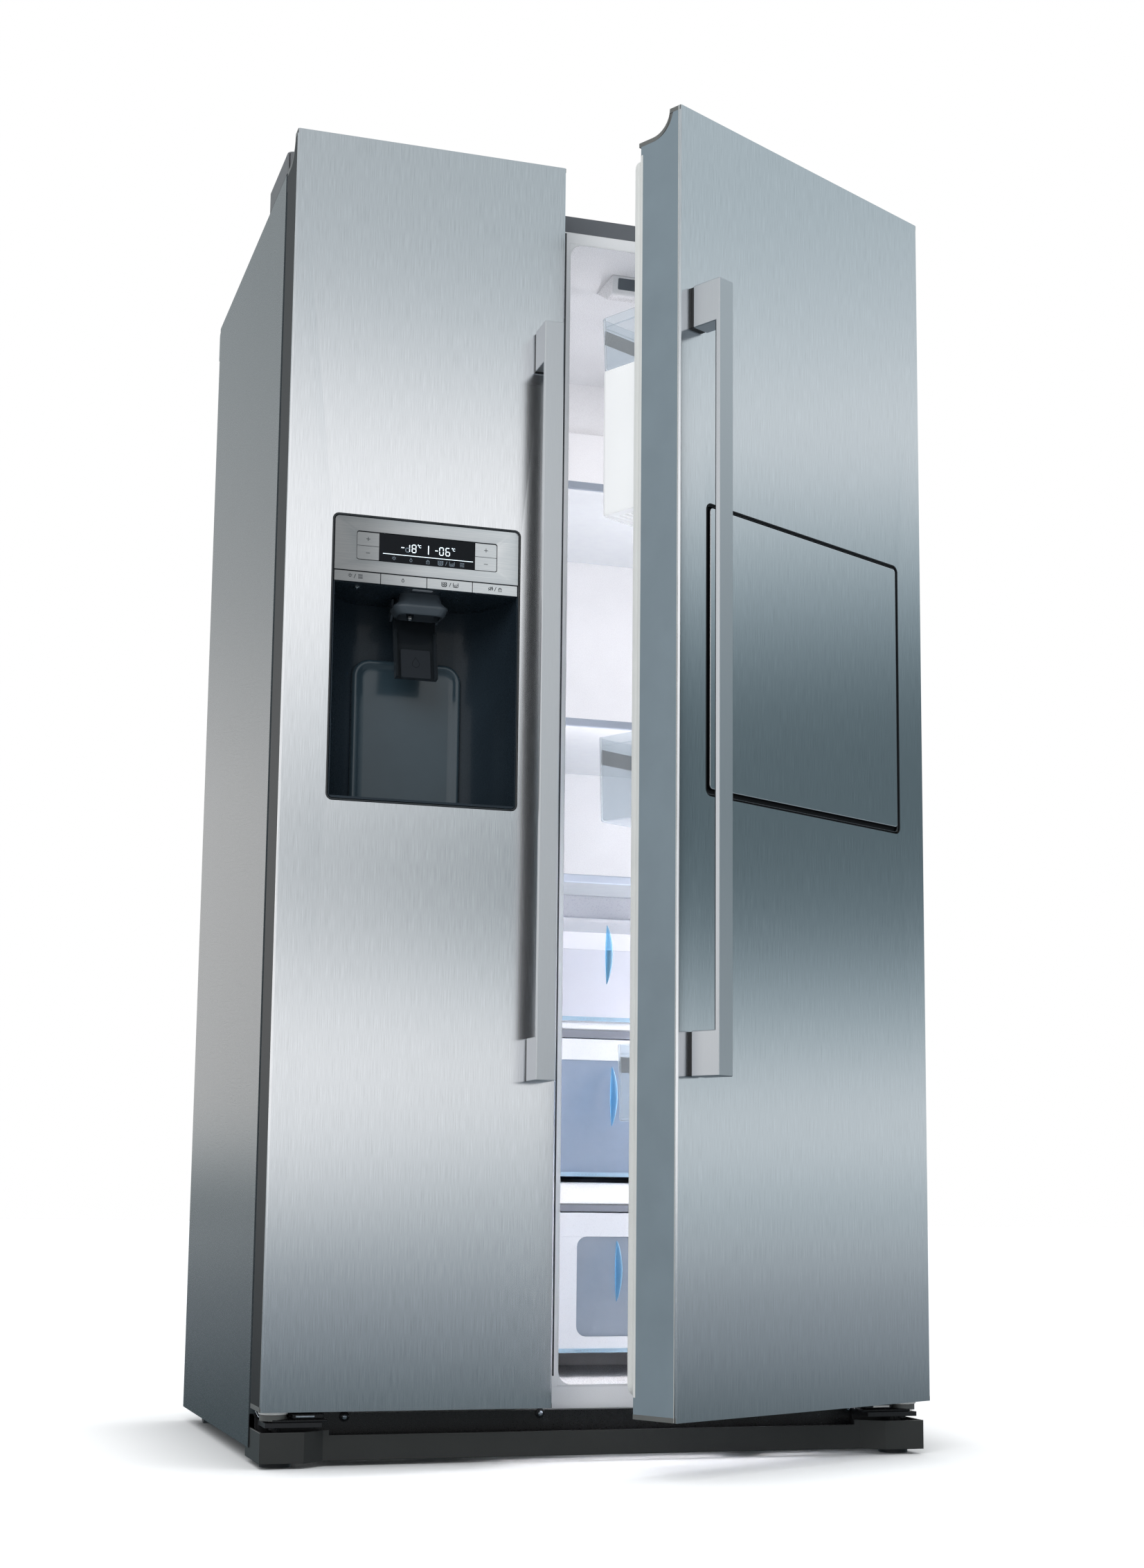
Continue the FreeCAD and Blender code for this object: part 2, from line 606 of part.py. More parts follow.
def plinth_line(inset):
    """The plinth's outline seen from above, moved inwards by inset."""
    side = half_width - PLINTH_SIDE_GAP - inset
    front = PLINTH_FRONT + inset
    set_back = PLINTH_FRONT + PLINTH_SET_BACK + inset
    block = half_width - PLINTH_SIDE_GAP - PLINTH_BLOCK
    slope = block - PLINTH_SLOPE
    shift = inset * (math.hypot(PLINTH_SET_BACK, PLINTH_SLOPE) - PLINTH_SLOPE) / PLINTH_SET_BACK
    half = [(-side, PLINTH_FRONT + PLINTH_SIDE), (-side, front), (-block - shift, front),
            (-slope - shift, set_back)]
    return half + [(-x, y) for x, y in reversed(half)]


def make_plinth():
    outline = plinth_line(0) + list(reversed(plinth_line(PLINTH_WALL)))
    wall = prism(outline, 2, PLINTH_BOTTOM, PLINTH_TOP)
    notch = half_width - PLINTH_SIDE_GAP - PLINTH_BLOCK - PLINTH_SLOPE - PLINTH_NOTCH
    back = PLINTH_FRONT + PLINTH_SET_BACK + PLINTH_WALL
    wall = wall.cut(box((-notch, notch), (0, back + 1), (PLINTH_PANEL_TOP, PLINTH_TOP + 1)))
    pieces = [wall]
    for x in (-notch * 0.6, notch * 0.6):
        pieces.append(box((x - PLINTH_BLOCK / 2, x + PLINTH_BLOCK / 2), (back - PLINTH_WALL / 2, crossbar_front),
                          (PAN_Z, PAN_Z + PLINTH_WALL)))
    save("plinth", fuse(pieces))


# ---- cooling system ----
def fan(centre, axis, low):
    """A hub with flat blades set on edge, bored for its shaft."""
    high = low + FAN_WIDTH
    hub = rod(centre, axis, FAN_HUB, low, high)
    blades = []
    for n in range(FAN_BLADES):
        blade = box((-BLADE_TIP / 2, BLADE_TIP / 2), (-FAN_WIDTH / 8, FAN_WIDTH / 8), (FAN_HUB / 2, FAN_RADIUS))
        blade.rotate(FreeCAD.Vector(0, 0, 0), FreeCAD.Vector(0, 0, 1), 32)
        blade.rotate(FreeCAD.Vector(0, 0, 0), FreeCAD.Vector(0, 1, 0), 360.0 * n / FAN_BLADES)
        if axis == 0:
            blade.rotate(FreeCAD.Vector(0, 0, 0), FreeCAD.Vector(0, 0, 1), 90)
            blade.translate(FreeCAD.Vector((low + high) / 2, centre[0], centre[1]))
        else:
            blade.translate(FreeCAD.Vector(centre[0], (low + high) / 2, centre[1]))
        blades.append(blade)
    return fuse([hub] + blades).cut(rod(centre, axis, FAN_SHAFT + FAN_SHAFT_CLEARANCE, low - 1, high + 1))


def make_machine_space():
    rear_y = (machine_front + machine_rear) / 2
    foot_ring = COMPRESSOR_RADIUS * 0.62
    body = rod((COMPRESSOR_X, rear_y), 2, COMPRESSOR_RADIUS, pan_top + COMPRESSOR_FOOT,
               pan_top + COMPRESSOR_FOOT + COMPRESSOR_HEIGHT)
    body = body.makeFillet(COMPRESSOR_RADIUS * 0.4, [e for e in body.Edges if len(e.Vertexes) == 1])
    feet = [rod((COMPRESSOR_X + dx, rear_y + dy), 2, COMPRESSOR_FOOT, pan_top, pan_top + 2 * COMPRESSOR_FOOT)
            for dx in (-foot_ring, foot_ring) for dy in (-foot_ring, foot_ring)]
    save("compressor", fuse([body] + feet))

    fin_y = (machine_front + FIN_PITCH * 2, machine_rear - FIN_PITCH * 2)
    fin_z = (pan_top, pan_top + COMPRESSOR_HEIGHT)
    fins = []
    for n in range(CONDENSER_FINS):
        x = CONDENSER_X + n * FIN_PITCH
        fins.append(box((x, x + FIN_SHEET), fin_y, fin_z))
    last = CONDENSER_X + (CONDENSER_FINS - 1) * FIN_PITCH + FIN_SHEET
    tubes = [rod((y, z), 0, TUBE_RADIUS, CONDENSER_X - FIN_PITCH / 2, last + FIN_PITCH / 2)
             for y in (fin_y[0] + 2 * FIN_PITCH, rear_y, fin_y[1] - 2 * FIN_PITCH)
             for z in (fin_z[0] + 2 * FIN_PITCH, (fin_z[0] + fin_z[1]) / 2, fin_z[1] - 2 * FIN_PITCH)]
    fan_z = pan_top + FAN_RADIUS + SHROUD_CLEARANCE * 2
    fan_low = CONDENSER_X - 5 * FIN_PITCH
    shroud_x = (fan_low + FAN_WIDTH / 4, fan_low + FAN_WIDTH / 4 + FIN_SHEET * 2)
    reach = FAN_RADIUS + SHROUD_CLEARANCE * 2
    shroud = box(shroud_x, (rear_y - reach, rear_y + reach), (pan_top, fan_z + reach))
    shroud = shroud.cut(rod((rear_y, fan_z), 0, FAN_RADIUS + SHROUD_CLEARANCE, shroud_x[0] - 1, shroud_x[1] + 1))
    motor_x = (fan_low - 3 * FAN_WIDTH, fan_low - SHROUD_CLEARANCE / 2)
    motor = rod((rear_y, fan_z), 0, FAN_HUB + SHROUD_CLEARANCE, *motor_x)
    shaft = rod((rear_y, fan_z), 0, FAN_SHAFT, motor_x[1], fan_low + FAN_WIDTH)
    post = box((motor_x[0], motor_x[0] + FAN_WIDTH), (rear_y - FAN_WIDTH / 2, rear_y + FAN_WIDTH / 2),
               (pan_top, fan_z))
    save("condenser", fuse(fins + tubes), shroud, fuse([motor, shaft, post]))
    save("condenser_fan", fan((rear_y, fan_z), 0, fan_low))

    save("drip_tray", tray((last + 3 * FIN_PITCH, inner_half - 3 * FIN_PITCH), fin_y,
                           (pan_top, pan_top + 4 * FIN_PITCH), DRAWER_WALL, DRAWER_CORNER))

    cover = box((-inner_half, inner_half), (machine_rear, BODY_REAR), (pan_top, MACHINE_TOP))
    slots = [box((at - LOUVRE_WIDTH / 2, at + LOUVRE_WIDTH / 2), (machine_rear - 1, BODY_REAR + 1),
                 (z, z + LOUVRE_HEIGHT))
             for at in LOUVRE_MIDDLES for z in [pan_top + LOUVRE_RISE + LOUVRE_PITCH * n for n in range(LOUVRE_COUNT)]]
    inlet_hole = rod((VALVE_X, VALVE_Z), 1, INLET_RADIUS + SHROUD_CLEARANCE, machine_rear - 1, BODY_REAR + 1)
    gland_at = (inner_half - GLAND_INSET, VALVE_Z)
    gland = rod(gland_at, 1, GLAND_RADIUS, BODY_REAR - SHEET / 2, BODY_REAR + GLAND_RADIUS)
    save("machine_cover", fuse([cut(cover, slots + [inlet_hole]), gland]))

    valve_rear = machine_rear - VALVE_SPACE
    valve = box((VALVE_X - VALVE_WIDTH / 2, VALVE_X + VALVE_WIDTH / 2), (valve_rear - VALVE_DEPTH, valve_rear),
                (pan_top, VALVE_Z + VALVE_HEAD))
    inlet = rod((VALVE_X, VALVE_Z), 1, INLET_RADIUS, valve_rear, BODY_REAR + INLET_LENGTH)
    bore = rod((VALVE_X, VALVE_Z), 1, INLET_RADIUS * 0.62, valve_rear - VALVE_BORE, BODY_REAR + INLET_LENGTH + 1)
    save("water_valve", fuse([valve, inlet]).cut(bore))


def make_air_ducts():
    inside = (freezer_box[0] + LINER + SHELF_SIDE_GAP, freezer_box[1] - LINER - SHELF_SIDE_GAP)
    middle = (inside[0] + inside[1]) / 2
    wall = liner_back - LINER
    foot = step_z + LINER
    plate = fuse([box(inside, (DUCT_FRONT, DUCT_FRONT + DUCT_SHEET), (foot, DUCT_TOP)),
                  box(inside, (DUCT_FRONT, wall), (DUCT_TOP - DUCT_SHEET, DUCT_TOP))])
    fan_hole = rod((middle, EVAPORATOR_FAN_Z), 1, FAN_RADIUS + SHROUD_CLEARANCE, DUCT_FRONT - 1,
                   DUCT_FRONT + DUCT_SHEET + 1)
    bars = [box((middle - GRILLE_WIDTH / 2, middle + GRILLE_WIDTH / 2), (DUCT_FRONT - 1, DUCT_FRONT + DUCT_SHEET + 1),
                (DUCT_TOP - drop, DUCT_TOP - drop + GRILLE_SLOT)) for drop in GRILLE_DROPS]
    guard = box((middle - FAN_RADIUS - 2 * SHROUD_CLEARANCE, middle + FAN_RADIUS + 2 * SHROUD_CLEARANCE),
                (DUCT_FRONT, DUCT_FRONT + DUCT_SHEET), (EVAPORATOR_FAN_Z - GUARD_HALF, EVAPORATOR_FAN_Z + GUARD_HALF))
    save("freezer_duct_cover", fuse([cut(plate, [fan_hole] + bars), guard]))

    coil_x = (inside[0] + EVAPORATOR_SIDE, inside[1] - EVAPORATOR_SIDE)
    coil_y = (DUCT_FRONT + 4 * DUCT_SHEET, wall - 2 * DUCT_SHEET)
    fins = []
    count = int((coil_x[1] - coil_x[0]) / FIN_PITCH)
    for n in range(count):
        x = coil_x[0] + n * FIN_PITCH
        fins.append(box((x, x + FIN_SHEET), coil_y, EVAPORATOR))
    tubes = [rod(((coil_y[0] + coil_y[1]) / 2, z), 0, TUBE_RADIUS, coil_x[0] - FIN_PITCH / 2,
                 coil_x[0] + (count - 1) * FIN_PITCH + FIN_SHEET + FIN_PITCH / 2)
             for z in [EVAPORATOR[0] + EVAPORATOR_TUBE_RISE + EVAPORATOR_TUBE_PITCH * n
                       for n in range(EVAPORATOR_TUBES)]]
    hangers = [box((x, x + 2 * FIN_PITCH + FIN_SHEET), (coil_y[1] - FIN_SHEET, wall),
                   (EVAPORATOR[1] - 2 * FIN_PITCH, EVAPORATOR[1]))
               for x in (coil_x[0] + 2 * FIN_PITCH, coil_x[0] + (count - 6) * FIN_PITCH)]
    fan_low = DUCT_FRONT + 3 * DUCT_SHEET
    motor = rod((middle, EVAPORATOR_FAN_Z), 1, FAN_HUB + SHROUD_CLEARANCE, fan_low + FAN_WIDTH + DUCT_SHEET, wall)
    shaft = rod((middle, EVAPORATOR_FAN_Z), 1, FAN_SHAFT, fan_low, fan_low + FAN_WIDTH + DUCT_SHEET)
    save("evaporator", fuse(fins + tubes + hangers), fuse([motor, shaft]))
    save("evaporator_fan", fan((middle, EVAPORATOR_FAN_Z), 1, fan_low))

    centre = (fridge_box[0] + fridge_box[1]) / 2
    column_low = step_z + COLUMN_RISE
    column = rounded((centre - COLUMN_WIDTH / 2, centre + COLUMN_WIDTH / 2), (wall - 4 * DUCT_SHEET, wall),
                     (column_low, liner_top - COLUMN_DROP), COLUMN_CORNER, 1)
    vents = [box((centre - VENT_WIDTH / 2, centre + VENT_WIDTH / 2), (wall - 5 * DUCT_SHEET, wall - 2 * DUCT_SHEET),
                 (z, z + VENT_HEIGHT))
             for z in [column_low + VENT_RISE + VENT_PITCH * n + VENT_ROW_PITCH * row
                       for row in range(4) for n in range(3)]]
    save("fridge_duct_cover", cut(column, vents))

    unit_x = (fridge_box[0] + CEILING_SIDE, fridge_box[1] - CEILING_SIDE)
    unit_top = liner_top - LINER
    unit_rear = CEILING_FRONT + CEILING_BACK
    unit = prism([(CEILING_FRONT, unit_top), (CEILING_FRONT + CEILING_NOSE, unit_top - CEILING_DROP),
                  (unit_rear - CEILING_TAIL, unit_top - CEILING_BACK_DROP), (unit_rear, unit_top)],
                 0, unit_x[0], unit_x[1])
    save("ceiling_unit", unit)


# ---- shelves, drawers and bins ----
def make_shelves():
    glass = []
    trims = []
    for side, heights in ((fridge_box, FRIDGE_SHELVES), (freezer_box, FREEZER_SHELVES)):
        x = (side[0] + LINER + SHELF_SIDE_GAP, side[1] - LINER - SHELF_SIDE_GAP)
        back = SHELF_BACK if side is fridge_box else DUCT_FRONT - DUCT_SHEET
        for z in heights:
            glass.append(box(x, (SHELF_FRONT + SHELF_TRIM_DEPTH, back), (z, z + SHELF_GLASS)))
            trims.append(rounded(x, (SHELF_FRONT, SHELF_FRONT + SHELF_TRIM_DEPTH),
                                 (z + SHELF_GLASS - SHELF_TRIM_HEIGHT, z + SHELF_GLASS), 2.0, 0))
    x = (fridge_box[0] + LINER + SHELF_SIDE_GAP, fridge_box[1] - LINER - SHELF_SIDE_GAP)
    lid_z = CRISPER_LID_TOP - SHELF_GLASS
    glass.append(box(x, (SHELF_FRONT + SHELF_TRIM_DEPTH, SHELF_BACK), (lid_z, CRISPER_LID_TOP)))
    trims.append(rounded(x, (SHELF_FRONT, SHELF_FRONT + SHELF_TRIM_DEPTH),
                         (CRISPER_LID_TOP - CRISPER_TRIM_HEIGHT, CRISPER_LID_TOP), 3.0, 0))
    save("glass_shelves", *glass)
    save("shelf_trims", *trims)

    plates = [rounded(x, (SHELF_FRONT, SHELF_BACK), (top - height, top), 3.0, 0)
              for top, height in zip(DIVIDER_TOPS, DIVIDER_HEIGHTS)]
    rails = runners(fridge_box, (SHELF_FRONT + SHELF_TRIM_DEPTH, SHELF_BACK),
                    (DIVIDER_TOPS[1] - LEDGE_HEIGHT, MIDDLE_DRAWER[0] - DRAWER_SEAT_GAP), LINER + SHELF_SIDE_GAP)
    save("drawer_dividers", plates[0], fuse([plates[1]] + rails))


def drawer(x, y, z, handle_x):
    body = tray(x, y, z, DRAWER_WALL, DRAWER_CORNER)
    middle = (z[0] + z[1]) / 2
    reach = (z[1] - z[0]) * 0.32
    width = DRAWER_HANDLE_WIDTH / 2
    grip = prism([(y[0], middle - reach), (y[0], middle + reach), (y[0] - DRAWER_HANDLE_PROUD, middle + reach / 2),
                  (y[0] - DRAWER_HANDLE_PROUD, middle - reach / 2)], 0, handle_x - width, handle_x + width)
    return body, grip


def make_drawers():
    x = drawer_span(fridge_box)
    handle_x = fridge_box[0] + LINER + DRAWER_HANDLE_X
    top_z = (DIVIDER_TOPS[0] + DRAWER_SEAT_GAP, TOP_DRAWER_TOP)
    save("top_drawer", *drawer(x, (DRAWER_FRONT, DRAWER_BACK), top_z, handle_x))
    save("middle_drawer", *drawer(x, (DRAWER_FRONT, DRAWER_BACK), MIDDLE_DRAWER, handle_x))
    save("bottom_drawer", *drawer(x, (DRAWER_FRONT, DRAWER_FRONT + BOTTOM_DRAWER_DEPTH), BOTTOM_DRAWER, handle_x))

    x = drawer_span(freezer_box)
    save("freezer_drawer", *drawer(x, (SHELF_FRONT, SHELF_FRONT + FREEZER_DRAWER_DEPTH), FREEZER_DRAWER,
                                   (x[0] + x[1]) / 2))


def make_ice_maker():
    x = (freezer_box[0] + LINER + LEDGE_WIDTH, freezer_box[1] - LINER - 6.0 * LEDGE_WIDTH)
    shelf_top = FREEZER_SHELVES[0] + SHELF_GLASS
    bucket = tray(x, (SHELF_FRONT + SHELF_TRIM_DEPTH, DUCT_FRONT - ICE_BUCKET_SHORT),
                  (shelf_top, shelf_top + ICE_BUCKET_HEIGHT), DRAWER_WALL, DRAWER_CORNER)
    maker_front = SHELF_FRONT + SHELF_TRIM_DEPTH
    maker = rounded((freezer_box[0] + LINER, x[1] - ICE_MAKER_SHORT),
                    (maker_front + ICE_MAKER_DEPTH[0], maker_front + ICE_MAKER_DEPTH[1]),
                    (shelf_top + ICE_MAKER_RISE[0], shelf_top + ICE_MAKER_RISE[1]), ICE_MAKER_CORNER, 1)
    save("ice_maker", bucket, maker)


# ---- doors ----
def scoop_line(y_end, drop):
    """Points of the door's hollowed top from the lip's back edge to y_end, lowered by drop."""
    radius = SCOOP_RADIUS
    centre = (SCOOP_LIP + radius, DOOR_TOP)
    steps = 8
    line = []
    for n in range(steps + 1):
        angle = math.pi + n * math.pi / 2 / steps
        line.append((centre[0] + radius * math.cos(angle), centre[1] + radius * math.sin(angle) - drop))
    return line + [(y_end, DOOR_TOP - radius - drop)]


def door_side(y_low, y_end, bottom, drop):
    """The door's outline seen from the side."""
    lip = [(y_low, bottom), (y_low, DOOR_TOP - drop), (SCOOP_LIP, DOOR_TOP - drop)]
    return lip + scoop_line(y_end, drop)[1:] + [(y_end, bottom)]


def make_skin(x, opening, corner):
    """Steel sheet bent round the door's front and sides."""
    outer = rounded(x, (0, door_back + DOOR_LINER), (DOOR_BOTTOM, DOOR_TOP), DOOR_EDGE_RADIUS, 2)
    inner = box((x[0] + DOOR_SHEET, x[1] - DOOR_SHEET), (DOOR_SHEET, DOOR_DEPTH + 1),
                (DOOR_BOTTOM - 1, DOOR_TOP + 1))
    side = prism(door_side(DOOR_SHEET, DOOR_DEPTH, DOOR_BOTTOM + CAP_BAND, CAP_BAND), 0, x[0] - 1, x[1] + 1)
    front = box((x[0] - 1, x[1] + 1), (-1, DOOR_SHEET), (DOOR_BOTTOM - 1, DOOR_TOP + 1))
    skin = outer.cut(inner).common(fuse([side, front]))
    window = rounded((opening[0], opening[1]), (-1, DOOR_SHEET + 1), (opening[2], opening[3]), corner, 1)
    return skin.cut(window)


def make_caps(x, pin_x):
    """Plastic end caps of one door: the hollowed top one and the flat bottom one with its hinge bush."""
    inner_x = (x[0] + DOOR_SHEET, x[1] - DOOR_SHEET)
    end = DOOR_DEPTH + CAP_OVERHANG
    block_low = DOOR_TOP - SCOOP_RADIUS - TOP_CAP_BLOCK
    band = prism(door_side(DOOR_SHEET, end, block_low, 0), 0, x[0], x[1])
    under = prism(door_side(DOOR_SHEET - 1, end + 1, block_low - 1, CAP_BAND), 0, x[0] - 1, x[1] + 1)
    block = prism(door_side(DOOR_SHEET, DOOR_DEPTH - DOOR_LINER, block_low, CAP_BAND), 0, *inner_x)
    top = fuse([band.cut(under), block])
    pin_hole = rod((pin_x, HINGE_INSET_Y), 2, PIN_RADIUS + PIN_CLEARANCE, DOOR_BOTTOM - BOTTOM_CAP, DOOR_TOP)
    foot_band = box(x, (DOOR_SHEET, DOOR_DEPTH), (DOOR_BOTTOM, DOOR_BOTTOM + CAP_BAND))
    foot_block = box(inner_x, (DOOR_SHEET, door_back), (DOOR_BOTTOM + CAP_BAND, DOOR_BOTTOM + BOTTOM_CAP))
    bush_low = LOWER_PLATE_Z + LOWER_PLATE + BUSH_GAP
    bush = rod((pin_x, HINGE_INSET_Y), 2, BUSH_RADIUS, bush_low, DOOR_BOTTOM)
    bottom = fuse([foot_band, foot_block])
    return top.cut(pin_hole), bottom.cut(pin_hole), bush.cut(pin_hole)


def core_limits(x):
    """The space between a door's skin, caps and inner liner."""
    return ((x[0] + DOOR_SHEET, x[1] - DOOR_SHEET), (DOOR_SHEET, door_back),
            (DOOR_BOTTOM + BOTTOM_CAP, DOOR_TOP - SCOOP_RADIUS - TOP_CAP_BLOCK))


def make_core(x, opening):
    """Door foam as four slabs round an opening (x low, x high, z low, z high)."""
    width, depth, height = core_limits(x)
    return (box(width, depth, (height[0], opening[2])), box(width, depth, (opening[3], height[1])),
            box((width[0], opening[0]), depth, (opening[2], opening[3])),
            box((opening[1], width[1]), depth, (opening[2], opening[3])))


def door_panel(x, dykes, opening):
    """The door's inner panel with its two upright ribs and an opening."""
    width, depth, height = core_limits(x)
    plate = box(width, (door_back, DOOR_DEPTH), (DOOR_BOTTOM + CAP_BAND, height[1]))
    rib_z = (height[0] + DYKE_END, height[1] - DYKE_END)
    ribs = [rounded((dykes[0], dykes[0] + DYKE_WIDTH), (DOOR_DEPTH - DOOR_LINER / 2, DOOR_DEPTH + DYKE_DEPTH),
                    rib_z, DYKE_WIDTH / 3, 2),
            rounded((dykes[1] - DYKE_WIDTH, dykes[1]), (DOOR_DEPTH - DOOR_LINER / 2, DOOR_DEPTH + DYKE_DEPTH),
                    rib_z, DYKE_WIDTH / 3, 2)]
    hole = box((opening[0], opening[1]), (door_back - 1, DOOR_DEPTH + 1), (opening[2], opening[3]))
    return fuse([plate.cut(hole)] + ribs)


def make_gasket(x, hinge_left):
    """The seal's four sides, drawn in at the hinge so that it swings clear of the cabinet."""
    hinge_inset = HINGE_INSET_X + BUSH_GAP
    low = x[0] + (hinge_inset if hinge_left else GASKET_INSET)
    high = x[1] - (GASKET_INSET if hinge_left else hinge_inset)
    z = (DOOR_BOTTOM + BOTTOM_CAP, DOOR_TOP - SCOOP_RADIUS - TOP_CAP_BLOCK)
    y = (DOOR_DEPTH, DOOR_DEPTH + GASKET_DEPTH)
    inside = rounded((low + GASKET_WIDTH, high - GASKET_WIDTH), (y[0] - 1, y[1] + 1),
                     (z[0] + GASKET_WIDTH, z[1] - GASKET_WIDTH), GASKET_WIDTH / 2, 1)
    return rounded((low, high), y, z, GASKET_WIDTH, 1).cut(inside)


def make_handle(low):
    x = (low, low + HANDLE_WIDTH)
    bar = rounded(x, (-HANDLE_STANDOFF, -HANDLE_STANDOFF + HANDLE_BAR), (HANDLE_BOTTOM, HANDLE_TOP), 1.2, 2)
    post_y = (-HANDLE_STANDOFF + HANDLE_BAR, 0)
    return (bar, box(x, post_y, (HANDLE_BOTTOM, HANDLE_BOTTOM + HANDLE_POST)),
            box(x, post_y, (HANDLE_TOP - HANDLE_POST, HANDLE_TOP)))


def make_freezer_door():
    window = (dispenser_x[0], dispenser_x[1], DISPENSER_BOTTOM, DISPENSER_TOP)
    top, bottom, bush = make_caps(freezer_door, -hinge_x)
    save("freezer_door_skin", make_skin(freezer_door, window, DISPENSER_CORNER))
    save("freezer_door_caps", top, bottom, bush)
    save("freezer_door_core", *make_core(freezer_door, window))
    save("freezer_door_gasket", make_gasket(freezer_door, True))
    save("freezer_handle", *make_handle(freezer_door[1] - HANDLE_INSET - HANDLE_WIDTH))

    panel = door_panel(freezer_door, freezer_dykes, window)
    bulge_x = (dispenser_x[0] - BULGE_WALL, dispenser_x[1] + BULGE_WALL)
    bulge_y = (DOOR_DEPTH, CAVITY_DEPTH + HOUSING_WALL + BULGE_GAP)
    bulge_z = (DISPENSER_BOTTOM - BULGE_WALL, DISPENSER_TOP + BULGE_WALL)
    bulge = box(bulge_x, bulge_y, bulge_z)
    hollow = box(dispenser_x, (bulge_y[0] - DOOR_LINER, bulge_y[1] - BULGE_WALL), (window[2], window[3]))
    save("freezer_door_liner", fuse([panel, bulge]).cut(hollow))

    bins = []
    x = (freezer_dykes[0] + DYKE_WIDTH, freezer_dykes[1] - DYKE_WIDTH)
    for low, high in FREEZER_BINS:
        bins.append(tray(x, (DOOR_DEPTH, DOOR_DEPTH + FREEZER_BIN_DEPTH), (low, high), BIN_WALL, BIN_CORNER))
    save("freezer_door_bins", *bins)


def cavity_plan(grow, front):
    """The dispenser recess seen from above: straight cheeks, quarter ellipses and a flat back."""
    middle = (dispenser_x[0] + dispenser_x[1]) / 2
    half = DISPENSER_WIDTH / 2 - TRIM_WIDTH - PANEL_LINE + grow
    depth = CAVITY_DEPTH - CAVITY_STRAIGHT + grow
    flat = CAVITY_FLAT / 2
    back_y = CAVITY_STRAIGHT + depth
    curves = []
    for side in (-1, 1):
        centre = FreeCAD.Vector(middle + side * flat, CAVITY_STRAIGHT, 0)
        curve = Part.Ellipse(centre + FreeCAD.Vector(0, depth, 0),
                             centre + FreeCAD.Vector(side * (half - flat), 0, 0), centre)
        curves.append(Part.Arc(curve, 0, math.pi / 2).toShape())
        curves.append(Part.makeLine(FreeCAD.Vector(middle + side * half, CAVITY_STRAIGHT, 0),
                                    FreeCAD.Vector(middle + side * half, front, 0)))
    for y, reach in ((back_y, flat), (front, half)):
        curves.append(Part.makeLine(FreeCAD.Vector(middle - reach, y, 0), FreeCAD.Vector(middle + reach, y, 0)))
    return Part.Face(Part.Wire(Part.__sortEdges__(curves)))


def raised(face, low, high):
    solid = face.extrude(FreeCAD.Vector(0, 0, high - low))
    solid.translate(FreeCAD.Vector(0, 0, low))
    return solid


